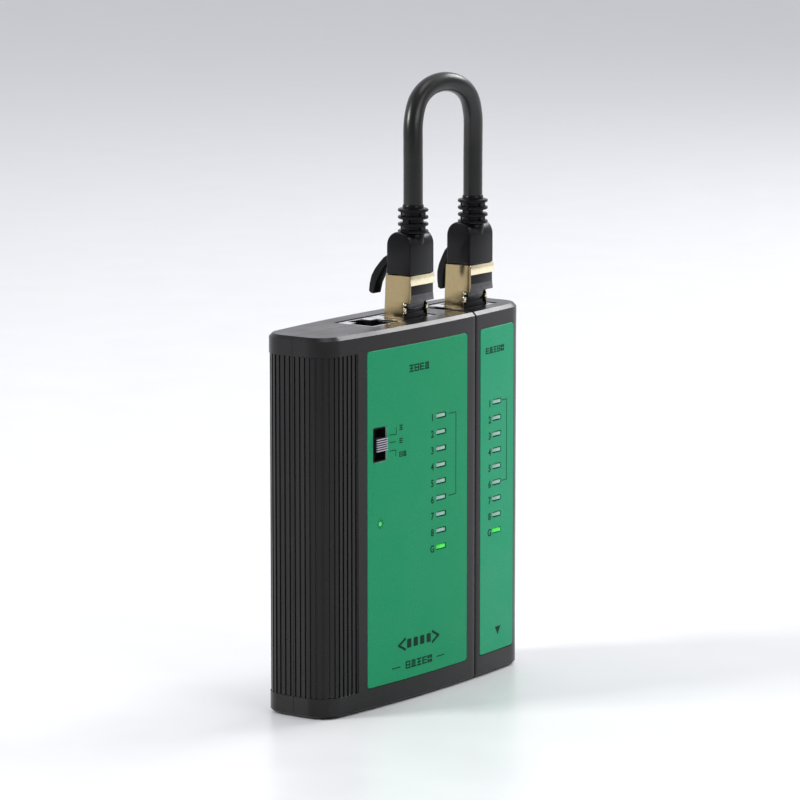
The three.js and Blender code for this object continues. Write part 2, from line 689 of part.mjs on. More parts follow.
// The plastic nose with a comb of eight contact slots, and the wider block behind it.
function plugInsert(x) {
  const half = PLUG.width / 2 - 0.7;
  const { thickY, thinY, step, tip } = PLUG;
  const body = join(
    box(x - half, x + half, thinY + 0.1, 0.6, tip, step + 1),
    box(x - half, x + half, thickY + 0.75, 0.6, step + 0.8, SHIELD_TOP - 0.3),
  );
  const slots = Array.from({ length: CONTACTS.count }, (_, i) => {
    const sx = contactX(x, i);
    return box(sx - 0.25, sx + 0.25, thinY - 1, thinY + 1, tip + 0.8, tip + 6);
  });
  return cut(body, ...slots);
}

function plugBoot(x) {
  const half = PLUG.width / 2;
  const depth = (BOOT_BACK - PLUG.thickY) / 2;
  const side = [
    [PLUG.thickY, SHIELD_TOP + GAP],
    [BOOT_BACK, SHIELD_TOP + GAP],
    ...arc(PLUG.thickY + depth, BOOT_TOP - depth, depth, 0, 180, 10),
  ];
  return sidePrism(side, x - half, x + half);
}

function arc(a, b, radius, from, to, steps = 5) {
  return Array.from({ length: steps + 1 }, (_, i) => {
    const angle = ((from + ((to - from) * i) / steps) * Math.PI) / 180;
    return [a + radius * Math.cos(angle), b + radius * Math.sin(angle)];
  });
}

// The ribbed strain relief: a neck with four rings.
function plugRelief(x) {
  const z0 = BOOT_TOP + GAP;
  const neck = 3.2;
  const ring = 4.4;
  const pitch = 1.85;
  const profile = [[0, 0], [neck, 0]];
  for (let i = 0; i < 4; i++) {
    const z = 0.15 + i * pitch;
    profile.push([neck, z], [ring, z + 0.15], [ring, z + 0.95], [neck, z + 1.1]);
  }
  profile.push([neck - 0.2, RELIEF_TOP - z0], [0, RELIEF_TOP - z0]);
  const points = profile.filter(([r, z], i) => i === 0 || r !== profile[i - 1][0] || z !== profile[i - 1][1]);
  const lathe = new THREE.LatheGeometry(points.map(([r, z]) => new THREE.Vector2(r, z)), 20);
  return toSolid(lathe.rotateX(Math.PI / 2).translate(x, CORD_Y, z0));
}

// The curved cover over the latch: a horn that springs from the back of the boot, turned towards
// the plug by `tuck` degrees about its hinge.
function latchCover(x, tuck) {
  const { hinge, half, outline: horn } = COVER;
  const lean = (-tuck * Math.PI) / 180;
  const turned = horn.map(([y, z]) => {
    const dy = y - hinge.y;
    const dz = z - hinge.z;
    const turnedY = hinge.y + dy * Math.cos(lean) - dz * Math.sin(lean);
    const turnedZ = hinge.z + dy * Math.sin(lean) + dz * Math.cos(lean);
    return [turnedY, turnedZ];
  });
  const band = sidePrism(turned, x - half, x + half);
  return cut(band, box(x - 10, x + 10, -10, BOOT_BACK + GAP, 90, 140));
}

// The clear latch lever, rooted near the plug's tip and leaning back through the socket's channel.
function latchLever(x, { topZ, lean }) {
  const { rootZ, thick, half, wingHalf } = LEVER;
  const y = PLUG.backY + GAP;
  const blade = sidePrism(
    [
      [y, rootZ],
      [y + thick, rootZ],
      [y + lean + thick, topZ],
      [y + lean, topZ],
      [y, rootZ + 2],
    ],
    x - half,
    x + half,
  );
  const wings = sidePrism(
    [
      [y + 0.1, rootZ + 1],
      [y + 1, rootZ + 1],
      [y + 1.3, rootZ + 7],
      [y + 0.4, rootZ + 7],
    ],
    x - wingHalf,
    x + wingHalf,
  );
  return join(blade, wings);
}

function cordTube() {
  const route = new THREE.CatmullRomCurve3(CORD_ROUTE.map((p) => new THREE.Vector3(...p)));
  const section = new THREE.Shape().absarc(0, 0, CORD_DIAMETER / 2, 0, 2 * Math.PI);
  return toSolid(new THREE.ExtrudeGeometry(section, { extrudePath: route, steps: 28, curveSegments: 5 }));
}

// ---------- assembly ----------
const tester = new THREE.Group();

function add(name, solid, finish) {
  const mesh = new THREE.Mesh(toGeometry(solid), finish);
  mesh.name = name;
  tester.add(mesh);
}

const mainFaceY = -CASE_DEPTH / 2;
const remoteFaceY = quarterPoint(REMOTE_LIGHT_X).y;

add("main_front_shell", mainFrontShell(), CASE_BLACK);
add("main_rear_shell", mainRearShell(), CASE_BLACK);
add("main_faceplate", faceplate(MAIN_PLATE, MAIN_LIGHT_X, switchSlot, powerHole(GAP)), PLATE_GREEN);
add("main_circuit_board", circuitBoard(MAIN_BOARD, MAIN_LIGHT_X, MAIN_SCREWS), BOARD_GREEN);
add("main_controller_chip", controllerChip(), CORD_BLACK);
add("main_light_guide", lightGuide(MAIN_LIGHT_X, mainFaceY, MAIN_BOARD), CLEAR);
add("main_shield_line_lens", lightBar(MAIN_LIGHT_X, mainFaceY, MAIN_BOARD, LIGHT.count - 1), LIT_GREEN);
add("power_lens", powerLens(), LIT_GREEN);
add("switch_housing", switchHousing(), STEEL);
add("switch_knob", knob(), KNOB_GREY);
add("dock_rail", dockRail(), CASE_BLACK);
add("battery_door", batteryDoor(), CASE_BLACK);
add("battery", battery(), BATTERY_WRAP);
add("battery_snap", batterySnap(), CORD_BLACK);
add("battery_lead_positive", batteryLead(LEAD.x.positive), LEAD_RED);
add("battery_lead_negative", batteryLead(LEAD.x.negative), CORD_BLACK);
MAIN_SCREWS.forEach((place, i) => add(`main_screw_${i + 1}`, screw(place, mainBackFace), STEEL));

const jacks = [
  ["free_jack", FREE_JACK_X, JACK.width],
  ["main_jack", MAIN_JACK_X, JACK.width],
  ["remote_jack", REMOTE_JACK_X, REMOTE_JACK_WIDTH],
];
for (const [name, x, width] of jacks) {
  add(`${name}_shield`, jackShield(x, width), STEEL);
  add(`${name}_housing`, jackHousing(x), CORD_BLACK);
  add(`${name}_contacts`, jackContacts(x), GOLD);
}

add("remote_front_shell", remoteFrontShell(), CASE_BLACK);
add("remote_rear_shell", remoteRearShell(), CASE_BLACK);
add("remote_faceplate", faceplate(REMOTE_PLATE, REMOTE_LIGHT_X), PLATE_GREEN);
add("remote_circuit_board", circuitBoard(REMOTE_BOARD, REMOTE_LIGHT_X, REMOTE_SCREWS), BOARD_GREEN);
add("remote_light_guide", lightGuide(REMOTE_LIGHT_X, remoteFaceY, REMOTE_BOARD), CLEAR);
const remoteShieldLens = lightBar(REMOTE_LIGHT_X, remoteFaceY, REMOTE_BOARD, LIGHT.count - 1);
add("remote_shield_line_lens", remoteShieldLens, LIT_GREEN);
REMOTE_SCREWS.forEach((place, i) => add(`remote_screw_${i + 1}`, screw(place, remoteBackFace), STEEL));

for (const [side, x] of Object.entries(PLUG_X)) {
  add(`${side}_plug_shield`, plugShield(x), GOLD);
  add(`${side}_plug_insert`, plugInsert(x), INSERT_GREY);
  add(`${side}_plug_boot`, plugBoot(x), CORD_BLACK);
  add(`${side}_plug_relief`, plugRelief(x), CORD_BLACK);
  add(`${side}_latch_cover`, latchCover(x, COVER.tuck[side]), CORD_BLACK);
  add(`${side}_latch_lever`, latchLever(x, LEVER[side]), CLEAR);
}
add("patch_cord", cordTube(), CORD_BLACK);

export default tester;
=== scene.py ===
"""Looks of the network cable tester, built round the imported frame.

Sizes are in millimetres in the part's own frame, and turned to metres when a mesh is made.
"""

import math

import bmesh
import bpy
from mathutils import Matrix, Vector


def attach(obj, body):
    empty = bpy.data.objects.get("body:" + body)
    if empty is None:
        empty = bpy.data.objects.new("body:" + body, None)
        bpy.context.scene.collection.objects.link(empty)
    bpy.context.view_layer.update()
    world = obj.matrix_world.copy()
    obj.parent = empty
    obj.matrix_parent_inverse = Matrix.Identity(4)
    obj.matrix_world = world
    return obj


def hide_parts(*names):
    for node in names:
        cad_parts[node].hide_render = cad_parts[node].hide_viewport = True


MM = 0.001

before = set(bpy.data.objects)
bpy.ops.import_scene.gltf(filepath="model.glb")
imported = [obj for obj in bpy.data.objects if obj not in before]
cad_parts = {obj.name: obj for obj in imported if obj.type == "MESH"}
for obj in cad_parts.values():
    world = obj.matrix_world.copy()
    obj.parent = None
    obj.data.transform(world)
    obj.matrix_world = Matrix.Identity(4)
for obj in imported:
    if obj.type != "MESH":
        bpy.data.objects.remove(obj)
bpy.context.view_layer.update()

# ---------- driving sizes ----------
CASE_WIDTH = 98
CASE_DEPTH = 28
CASE_HEIGHT = 108.4
BOW_RADIUS = 415
CORNER_RADIUS = 7.4
EDGE_CHAMFER = 1.0  # flat chamfer of the case's top and bottom edges
SEAM_RADIUS = 0.35  # rounding of the upright edges at the seam
SEAM_X = 20.9
SEAM_GAP = 0.3
PARTING_GAP = 0.05  # half the hairline between the front and rear shells
WALL = 2.2

BOTTOM_BAND = 6
TOP_BAND = 5.5
RIB_PITCH = 1.75
RIB_RECESS = 0.2
RIB_DEPTH = 0.9
RIBS_FROM = {"left": 34.9, "right": 44.5}  # how far from the middle each side's ribs start
GROOVE = ((0.37, 0.0), (0.33, 0.3))  # (half width, depth) of a groove between two ribs
FRONT_CUT = (-20, -8)  # y of a cutter that passes right through the front wall

PLATE_BOTTOM, PLATE_TOP, PLATE_CORNER = 6.5, 103, 1
PLATE_PROUD = 0.12  # how far the plates stand out of the case
PLATE_RECESS = 0.6
LIP = 0.32  # how wide the switch window's edge is, painted pale green as a highlight
MAIN_PLATE = (-31.2, 16.2)
REMOTE_PLATE = (23.4, 42.4)
LIGHT_SIZE = (4.4, 1.1)
LIGHT_TOP_Z, LIGHT_PITCH, LIGHT_COUNT = 80.75, 4.78, 9
LIGHT_X = {"main": 2.9, "remote": 32.65}
POWER_X, POWER_Z = -25.6, 53.3
SWITCH_X, SWITCH_Z, SWITCH_SIZE = -25.65, 76.0, (5.6, 9.5)

JACK_Y = (-6.9, 7.3)
JACK_MOUTHS = {"main": (-20.0, 11.15), "remote": (24.4, 41.6)}

PLUG_X = {"main": 3.3, "remote": 33}
PLUG_HALF = 5.95
PLUG_BACK, PLUG_FRONT, PLUG_NOSE = 1.35, -6.95, -4.7
SHIELD_BACK = {"top": 1.75, "socket": 2.3}
PLUG_TIP, PLUG_STEP, SHIELD_TOP, BOOT_TOP = 98.5, 113.0, 120.7, 133.3
CORD_Y = -3.8
CORD_RADIUS = 2.8
CORD_ROUTE = [
    (3.3, -3.8, 140.4),
    (3.3, -3.8, 146),
    (3.3, -3.8, 152),
    (3.4, -3.7, 158),
    (4.3, -3.2, 164.6),
    (7.3, -2.7, 170.2),
    (12.2, -2.9, 173.6),
    (18.15, -3.8, 174.8),
    (24.1, -4.7, 173.6),
    (29, -4.9, 170.2),
    (32, -4.4, 164.6),
    (32.9, -3.9, 158),
    (33, -3.8, 152),
    (33, -3.8, 146),
    (33, -3.8, 140.4),
]

# ---------- camera ----------
camera_data = bpy.data.cameras.new("camera")
camera_data.lens = 198
camera_data.sensor_width = 36
camera = bpy.data.objects.new("camera", camera_data)
camera.location = (-1.01065, -0.73572, 0.28504)
camera.rotation_mode = "QUATERNION"
camera.rotation_quaternion = Vector((0.79882, 0.58028, -0.15864)).to_track_quat("-Z", "Y")
bpy.context.scene.collection.objects.link(camera)
bpy.context.scene.camera = camera


# ---------- materials ----------
RELIEF_HEIGHT = 0.00002  # metres from the foot to the crest of a surface's grain


def shader_tree(name):
    material = bpy.data.materials.new(name)
    material.use_nodes = True
    tree = material.node_tree
    shader = tree.nodes["Principled BSDF"]
    return material, tree, shader


def noise(tree, scale, detail):
    """A noise in object space: scale is in features per metre."""
    place = tree.nodes.new("ShaderNodeTexCoord")
    node = tree.nodes.new("ShaderNodeTexNoise")
    node.inputs["Scale"].default_value = scale
    node.inputs["Detail"].default_value = detail
    tree.links.new(place.outputs["Object"], node.inputs["Vector"])
    return node


def spread(tree, source, low, high):
    """Maps a noise's middle range to the range from low to high."""
    node = tree.nodes.new("ShaderNodeMapRange")
    node.inputs["From Min"].default_value = 0.3
    node.inputs["From Max"].default_value = 0.7
    node.inputs["To Min"].default_value = low
    node.inputs["To Max"].default_value = high
    tree.links.new(source, node.inputs["Value"])
    return node.outputs["Result"]


def two_tone(tree, source, dark, light):
    """Turns a noise into a colour between two tones."""
    ramp = tree.nodes.new("ShaderNodeValToRGB")
    ramp.color_ramp.elements[0].position = 0.32
    ramp.color_ramp.elements[0].color = (*dark, 1)
    ramp.color_ramp.elements[1].position = 0.68
    ramp.color_ramp.elements[1].color = (*light, 1)
    tree.links.new(source, ramp.inputs["Fac"])
    return ramp.outputs["Color"]


def finish(
    name,
    color,
    rough,
    grain=2500,
    variation=0.12,
    bump=0.15,
    metallic=0.0,
    rough_spread=0.06,
    specular=0.5,
):
    """A moulded, sheathed or plated surface: grain in its colour, roughness and relief."""
    material, tree, shader = shader_tree(name)
    fine = noise(tree, grain, 3)
    broad = noise(tree, grain / 40, 2)
    dark = tuple(c * (1 - variation) for c in color)
    light = tuple(min(1, c * (1 + variation)) for c in color)
    tree.links.new(two_tone(tree, fine.outputs["Fac"], dark, light), shader.inputs["Base Color"])
    tree.links.new(
        spread(tree, broad.outputs["Fac"], rough - rough_spread, rough + rough_spread),
        shader.inputs["Roughness"],
    )
    relief = tree.nodes.new("ShaderNodeBump")
    relief.inputs["Strength"].default_value = bump
    relief.inputs["Distance"].default_value = RELIEF_HEIGHT
    tree.links.new(fine.outputs["Fac"], relief.inputs["Height"])
    tree.links.new(relief.outputs["Normal"], shader.inputs["Normal"])
    shader.inputs["Metallic"].default_value = metallic
    shader.inputs["Specular IOR Level"].default_value = specular
    return material


def glowing(name, color, strength):
    """A lit lens, faintly mottled."""
    material, tree, shader = shader_tree(name)
    haze = noise(tree, 900, 2)
    dark = tuple(c * 0.7 for c in color)
    tint = two_tone(tree, haze.outputs["Fac"], dark, color)
    tree.links.new(tint, shader.inputs["Base Color"])
    tree.links.new(tint, shader.inputs["Emission Color"])
    shader.inputs["Emission Strength"].default_value = strength
    shader.inputs["Roughness"].default_value = 0.3
    return material


def clear(name, color, rough):
    """A clear moulding that light passes through."""
    material, tree, shader = shader_tree(name)
    haze = noise(tree, 1200, 2)
    tree.links.new(spread(tree, haze.outputs["Fac"], rough, rough + 0.1), shader.inputs["Roughness"])
    tree.links.new(
        two_tone(tree, haze.outputs["Fac"], tuple(c * 0.94 for c in color), color),
        shader.inputs["Base Color"],
    )
    shader.inputs["Transmission Weight"].default_value = 0.85
    shader.inputs["IOR"].default_value = 1.5
    return material


CASE_BLACK = finish("case_black", (0.0065, 0.006, 0.0065), 0.28, 2600, 0.16, 0.25, specular=0.32)
RECESS_BLACK = finish("recess_black", (0.006, 0.006, 0.006), 0.6, 2600, 0.2, 0.3, specular=0.2)
PLATE_GREEN = finish("plate_green", (0.006, 0.290, 0.122), 0.5, 3400, 0.13, 0.3, specular=0.2)
PALE_GREEN = finish("pale_green", (0.010, 0.335, 0.160), 0.5, 3400, 0.13, 0.3, specular=0.25)
PRINT_BLACK = finish("print_black", (0.003, 0.034, 0.020), 0.5, 5000, 0.2, 0.1, specular=0.1)
BOARD_GREEN = finish("board_green", (0.010, 0.090, 0.035), 0.3, 900, 0.2, 0.2)
CHIP_BLACK = finish("chip_black", (0.015, 0.015, 0.016), 0.5, 3000, 0.2, 0.3)
LIGHT_BAR = finish("light_bar", (0.31, 0.52, 0.45), 0.3, 1800, 0.06, 0.1)
LIT_GREEN = glowing("lit_green", (0.035, 0.60, 0.055), 0.62)
STEEL = finish("jack_steel", (0.80, 0.80, 0.81), 0.2, 700, 0.05, 0.05, metallic=1.0, rough_spread=0.05)
SCREW_STEEL = finish("screw_steel", (0.32, 0.32, 0.33), 0.38, 1200, 0.1, 0.1, metallic=1.0)
GOLD = finish("plug_gold", (0.34, 0.265, 0.145), 0.15, 1200, 0.05, 0.04, metallic=1.0, rough_spread=0.03)
# A lighter copy of the plug gold, used as a painted highlight on the shield's front band and tabs.
GOLD_HIGHLIGHT = finish("gold_painted_highlight", (0.98, 0.86, 0.60), 0.2, 1200, 0.06, 0.08, metallic=1.0, rough_spread=0.04)
CONTACT_GOLD = finish("contact_gold", (0.85, 0.62, 0.22), 0.22, 1500, 0.06, 0.05, metallic=1.0)
INSERT_BLACK = finish("insert_black", (0.007, 0.007, 0.008), 0.25, 900, 0.2, 0.08, specular=0.2)
WINDOW_GREY = finish("window_grey", (0.075, 0.075, 0.082), 0.2, 700, 0.2, 0.1)
BOOT_BLACK = finish("boot_black", (0.006, 0.006, 0.007), 0.26, 3000, 0.2, 0.15, specular=0.16)
CORD_BLACK = finish("cord_black", (0.009, 0.009, 0.009), 0.32, 3500, 0.2, 0.12, specular=0.45)
# Pale grey for the knob's ridges: painted highlight on the crests of black plastic.
KNOB_RIDGE_HIGHLIGHT = finish("knob_grey", (0.47, 0.44, 0.52), 0.4, 2500, 0.08, 0.15)
# A paler copy of the plate green: painted highlight on the switch window's edge.
LIP_HIGHLIGHT_GREEN = finish("lip_painted_highlight", (0.16, 0.47, 0.33), 0.4, 2500, 0.08, 0.15)
BATTERY_WRAP = finish("battery_wrap", (0.03, 0.05, 0.20), 0.3, 600, 0.25, 0.1)
LEAD_RED = finish("lead_red", (0.45, 0.02, 0.02), 0.35, 2000, 0.12, 0.1)
LEAD_BLACK = finish("lead_black", (0.02, 0.02, 0.02), 0.35, 2000, 0.12, 0.1)
CLEAR_LATCH = clear("clear_latch", (0.92, 0.94, 0.95), 0.08)


# ---------- mesh helpers ----------
def mesh_object(name, points, faces, material=None):
    """A mesh in the scene from points in millimetres, with its faces turned outwards."""
    mesh = bpy.data.meshes.new(name)
    mesh.from_pydata([Vector(p) * MM for p in points], [], faces)
    tidy = bmesh.new()
    tidy.from_mesh(mesh)
    bmesh.ops.remove_doubles(tidy, verts=tidy.verts, dist=1e-7)
    bmesh.ops.recalc_face_normals(tidy, faces=tidy.faces)
    tidy.to_mesh(mesh)
    tidy.free()
    made = bpy.data.objects.new(name, mesh)
    bpy.context.scene.collection.objects.link(made)
    if material:
        mesh.materials.append(material)
    return made


def loft(rings):
    """Points and faces of a closed solid through rings that have the same number of points."""
    count = len(rings[0])
    points = [p for ring in rings for p in ring]
    faces = [list(reversed(range(count)))]
    for level in range(len(rings) - 1):
        low, high = level * count, (level + 1) * count
        for i in range(count):
            j = (i + 1) % count
            faces.append((low + i, low + j, high + j, high + i))
    faces.append(list(range((len(rings) - 1) * count, len(rings) * count)))
    return points, faces


def lofted(name, rings, material=None):
    return mesh_object(name, *loft(rings), material)


def boxes(name, spans, material=None):
    """One object that holds a box for each (x0, x1, y0, y1, z0, z1)."""
    points, faces = [], []
    for x0, x1, y0, y1, z0, z1 in spans:
        ring = [(x0, y0), (x1, y0), (x1, y1), (x0, y1)]
        more, sides = loft([[(x, y, z) for x, y in ring] for z in (z0, z1)])
        faces += [[i + len(points) for i in f] for f in sides]
        points += more
    return mesh_object(name, points, faces, material)


def settled(piece):
    """Turns the piece's modifiers into its own mesh."""
    graph = bpy.context.evaluated_depsgraph_get()
    made = bpy.data.meshes.new_from_object(piece.evaluated_get(graph))
    piece.modifiers.clear()
    old, piece.data = piece.data, made
    bpy.data.meshes.remove(old)
    return piece


def combine(operation, piece, *others):
    for other in others:
        step = piece.modifiers.new(operation.lower(), "BOOLEAN")
        step.operation = operation
        step.solver = "EXACT"
        step.object = other
    settled(piece)
    for other in others:
        bpy.data.objects.remove(other)
    return piece


def cut(piece, *tools):
    return combine("DIFFERENCE", piece, *tools)


def join(piece, *others):
    return combine("UNION", piece, *others)


def bevelled(piece, width, segments=2, angle=40):
    step = piece.modifiers.new("bevel", "BEVEL")
    step.width = width * MM
    step.segments = segments
    step.limit_method = "ANGLE"
    step.angle_limit = math.radians(angle)
    step.use_clamp_overlap = True
    return settled(piece)


def smooth(piece, angle=32):
    piece.data.shade_smooth()
    piece.data.set_sharp_from_angle(angle=math.radians(angle))
    return piece


def dressed(piece, body, nodes=()):
    """Puts a finished piece on its body, in the place of the CAD nodes that it stands for."""
    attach(piece, body)
    if nodes:
        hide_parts(*nodes)
    return piece


def rounded_rect(a0, a1, b0, b1, radius):
    """The outline of a rectangle with rounded corners."""
    steps = 4
    corners = [
        (a1 - radius, b0 + radius, -90),
        (a1 - radius, b1 - radius, 0),
        (a0 + radius, b1 - radius, 90),
        (a0 + radius, b0 + radius, 180),
    ]
    ring = []
    for a, b, start in corners:
        for i in range(steps + 1):
            angle = math.radians(start + 90 * i / steps)
            ring.append((a + radius * math.cos(angle), b + radius * math.sin(angle)))
    return ring


def drum(name, radius, start, end, sides=32):
    """A round bar between two points."""
    a, b = Vector(start), Vector(end)
    along = (b - a).normalized()
    across = along.orthogonal().normalized()
    up = along.cross(across)
    turn = [2 * math.pi * i / sides for i in range(sides)]
    ring = [across * math.cos(t) * radius + up * math.sin(t) * radius for t in turn]
    return lofted(name, [[a + p for p in ring], [b + p for p in ring]])


# ---------- the cord ----------
def catmull_rom(route, steps):
    """The smooth line through the route's points, steps points to a stretch."""
    pts = [Vector(p) for p in route]
    pts = [2 * pts[0] - pts[1], *pts, 2 * pts[-1] - pts[-2]]
    line = []
    for a, b, c, d in zip(pts, pts[1:], pts[2:], pts[3:]):
        for i in range(steps):
            t = i / steps
            line.append(
                0.5
                * (
                    2 * b
                    + (c - a) * t
                    + (2 * a - 5 * b + 4 * c - d) * t**2
                    + (3 * b - a - 3 * c + d) * t**3
                )
            )
    return [*line, pts[-2]]


def cord_piece():
    curve = bpy.data.curves.new("patch_cord_sheath", "CURVE")
    curve.dimensions = "3D"
    curve.bevel_depth = CORD_RADIUS * MM
    curve.bevel_resolution = 10
    curve.use_fill_caps = True
    line = catmull_rom(CORD_ROUTE, 8)
    spline = curve.splines.new("POLY")
    spline.points.add(len(line) - 1)
    for point, place in zip(spline.points, line):
        point.co = (*(place * MM), 1)
    curve.materials.append(CORD_BLACK)
    made = bpy.data.objects.new("patch_cord_sheath", curve)
    bpy.context.scene.collection.objects.link(made)
    spline.use_smooth = True
    return dressed(made, "cord", ["patch_cord"])


cord = cord_piece()

# ---------- plan of the case ----------
BOW_ANGLE = math.asin((CASE_WIDTH / 2 - CORNER_RADIUS) / (BOW_RADIUS - CORNER_RADIUS))
CORNER_X = CASE_WIDTH / 2 - CORNER_RADIUS
CORNER_Y = (BOW_RADIUS - CORNER_RADIUS) * math.cos(BOW_ANGLE) - BOW_RADIUS + CASE_DEPTH / 2
BOW_LENGTH = BOW_RADIUS * BOW_ANGLE
TURN_LENGTH = CORNER_RADIUS * (math.pi / 2 - BOW_ANGLE)
QUARTER = BOW_LENGTH + TURN_LENGTH + CORNER_Y


def front_point(t):
    """The place and outward normal at length t along the front from its middle; left is negative."""
    s, side = abs(t), math.copysign(1, t)
    if s <= BOW_LENGTH:
        a = s / BOW_RADIUS
        x, y = BOW_RADIUS * math.sin(a), BOW_RADIUS * (1 - math.cos(a)) - CASE_DEPTH / 2
        nx, ny = math.sin(a), -math.cos(a)
    elif s <= BOW_LENGTH + TURN_LENGTH:
        a = BOW_ANGLE + (s - BOW_LENGTH) / CORNER_RADIUS
        nx, ny = math.sin(a), -math.cos(a)
        x, y = CORNER_X + CORNER_RADIUS * nx, -CORNER_Y + CORNER_RADIUS * ny
    else:
        nx, ny = 1, 0
        x, y = CASE_WIDTH / 2, -CORNER_Y + s - BOW_LENGTH - TURN_LENGTH
    return side * x, y, side * nx, ny


def face_y(x, inset=0.0):
    """The front face's y at x, at a depth below the surface."""
    return BOW_RADIUS - CASE_DEPTH / 2 - math.sqrt((BOW_RADIUS - inset) ** 2 - x * x)


def rib_stations(start_x):
    """(length, inset) pairs of one side's ribs, from where they start back to the middle."""
    found = []
    s = QUARTER - RIB_PITCH / 2
    while front_point(s - 0.6)[0] > start_x:
        found.append((s - RIB_PITCH / 2, RIB_RECESS))
        found += [(s - off, RIB_RECESS + deep) for off, deep in GROOVE]
        found += [(s + off, RIB_RECESS + deep) for off, deep in reversed(GROOVE)]
        s -= RIB_PITCH
    found = sorted(found)
    first = found[0][0]
    return [(first - 0.06, 0.0), *found, (QUARTER - PARTING_GAP, RIB_RECESS)]


def plain_stations(start, end, step=1.4):
    count = max(2, round((end - start) / step))
    return [start + (end - start) * i / count for i in range(count + 1)]


def shell_stations(unit):
    """(length along the front, rib inset) round one unit's front, from its left to its right."""
    if unit == "main":
        ribs = [(-s, inset) for s, inset in reversed(rib_stations(RIBS_FROM["left"]))]
        seam = BOW_RADIUS * math.asin((SEAM_X - SEAM_GAP / 2 - SEAM_RADIUS) / BOW_RADIUS)
        bow = plain_stations(ribs[-1][0] + 0.6, seam)
        return ribs + [(t, 0.0) for t in bow]
    ribs = rib_stations(RIBS_FROM["right"])
    seam = BOW_RADIUS * math.asin((SEAM_X + SEAM_GAP / 2 + SEAM_RADIUS) / BOW_RADIUS)
    bow = plain_stations(seam, ribs[0][0] - 0.6)
    return [(t, 0.0) for t in bow] + ribs


def shell_ring(unit, inset, ribbed):
    """The closed outline of a unit's front shell, inset from its outer faces."""
    ring = []
    for t, rib in shell_stations(unit):
        x, y, nx, ny = front_point(t)
        depth = inset + (rib if ribbed else 0)
        ring.append((x - depth * nx, y - depth * ny))
    side = 1 if unit == "main" else -1
    x, y, nx, ny = front_point(shell_stations(unit)[-1 if unit == "main" else 0][0])
    left = max(0, SEAM_RADIUS - inset)
    over = max(0, inset - SEAM_RADIUS)
    centre = (x - SEAM_RADIUS * nx - side * over, y - SEAM_RADIUS * ny + over)
    corner = []
    for i in range(1, 5):
        a = math.radians(90 * i / 4)
        corner.append((centre[0] + side * left * math.sin(a), centre[1] - left * math.cos(a)))
    corner.append((centre[0] + side * left, -PARTING_GAP))
    return ring + corner if unit == "main" else list(reversed(corner)) + ring


def shell_block(name, unit):
    """A unit's front shell as a solid: chamfered ends, plain bands and the ribs between them."""
    top = CASE_HEIGHT - TOP_BAND
    slope = 0.12  # height over which a groove runs out into a band
    levels = [
        (0, EDGE_CHAMFER, False),
        (EDGE_CHAMFER, 0, False),
        (BOTTOM_BAND, 0, False),
        (BOTTOM_BAND + slope, 0, True),
        (top - slope, 0, True),
        (top, 0, False),
        (CASE_HEIGHT - EDGE_CHAMFER, 0, False),
        (CASE_HEIGHT, EDGE_CHAMFER, False),
    ]
    rings = [[(x, y, z) for x, y in shell_ring(unit, inset, ribbed)] for z, inset, ribbed in levels]
    return lofted(name, rings, CASE_BLACK)


def mirrored(piece):
    """The same piece turned to the back of the case."""
    for vertex in piece.data.vertices:
        vertex.co.y = -vertex.co.y
    piece.data.flip_normals()
    return piece


def cavity(unit):
    """The hollow of a unit's front half, reaching past the parting line."""
    x_limit = seam_limit(unit)
    outline = shell_ring(unit, WALL + RIB_DEPTH, False)
    kept = [(min(x, x_limit), y) if unit == "main" else (max(x, x_limit), y) for x, y in outline]
    opened = [(x, 1.0 if y > -PARTING_GAP - 1e-6 else y) for x, y in kept]
    return lofted("cavity", [[(x, y, z) for x, y in opened] for z in (WALL, CASE_HEIGHT - WALL)])


def curved_slab(name, span, z_span, corner, front, back, edge, material=None):
    """A sheet that follows the bowed front between two depths, with rounded corners."""
    (x0, x1), (z0, z1) = span, z_span
    turn = [corner * (1 - math.cos(math.radians(a))) for a in range(0, 91, 15)]
    body = plain_stations(x0 + corner, x1 - corner, 2)
    columns = sorted({round(x, 4) for x in [x0 + d for d in turn] + body + [x1 - d for d in turn]})
    rings = []
    for x in columns:
        near = min(x - x0, x1 - x)
        short = corner - math.sqrt(max(0, corner**2 - (corner - near) ** 2)) if near < corner else 0
        low, high = z0 + short, z1 - short
        soft = edge if near > 1e-6 else 0.0
        lip = front if near > 1e-6 else front + edge
        y_front, y_edge, y_back = face_y(x, lip), face_y(x, front + edge), face_y(x, back)
        rings.append(
            [
                (x, y_back, low),
                (x, y_edge, low),
                (x, y_front, low + soft),
                (x, y_front, high - soft),
                (x, y_edge, high),
                (x, y_back, high),
            ]
        )
    return lofted(name, rings, material)


def light_z(index):
    return LIGHT_TOP_Z - index * LIGHT_PITCH


def slot_prisms(name, unit, grow, y0, y1, indices=range(LIGHT_COUNT), material=None):
    """The rounded light windows of one unit, from y0 to y1."""
    x = LIGHT_X[unit]
    points, faces = [], []
    for i in indices:
        ring = rounded_rect(
            x - LIGHT_SIZE[0] / 2 - grow,
            x + LIGHT_SIZE[0] / 2 + grow,
            light_z(i) - LIGHT_SIZE[1] / 2 - grow,
            light_z(i) + LIGHT_SIZE[1] / 2 + grow,
            0.22 + grow,
        )
        more, sides = loft([[(a, y, b) for a, b in ring] for y in (y0, y1)])
        faces += [[k + len(points) for k in f] for f in sides]
        points += more
    return mesh_object(name, points, faces, material)


def power_hole(radius):
    near, far = FRONT_CUT
    return drum("hole", radius, (POWER_X, near, POWER_Z), (POWER_X, far, POWER_Z))


def switch_hole(grow):
    wide, tall = SWITCH_SIZE
    ring = rounded_rect(
        SWITCH_X - wide / 2 - grow,
        SWITCH_X + wide / 2 + grow,
        SWITCH_Z - tall / 2 - grow,
        SWITCH_Z + tall / 2 + grow,
        0.3,
    )
    return lofted("switch_hole", [[(a, y, b) for a, b in ring] for y in FRONT_CUT])


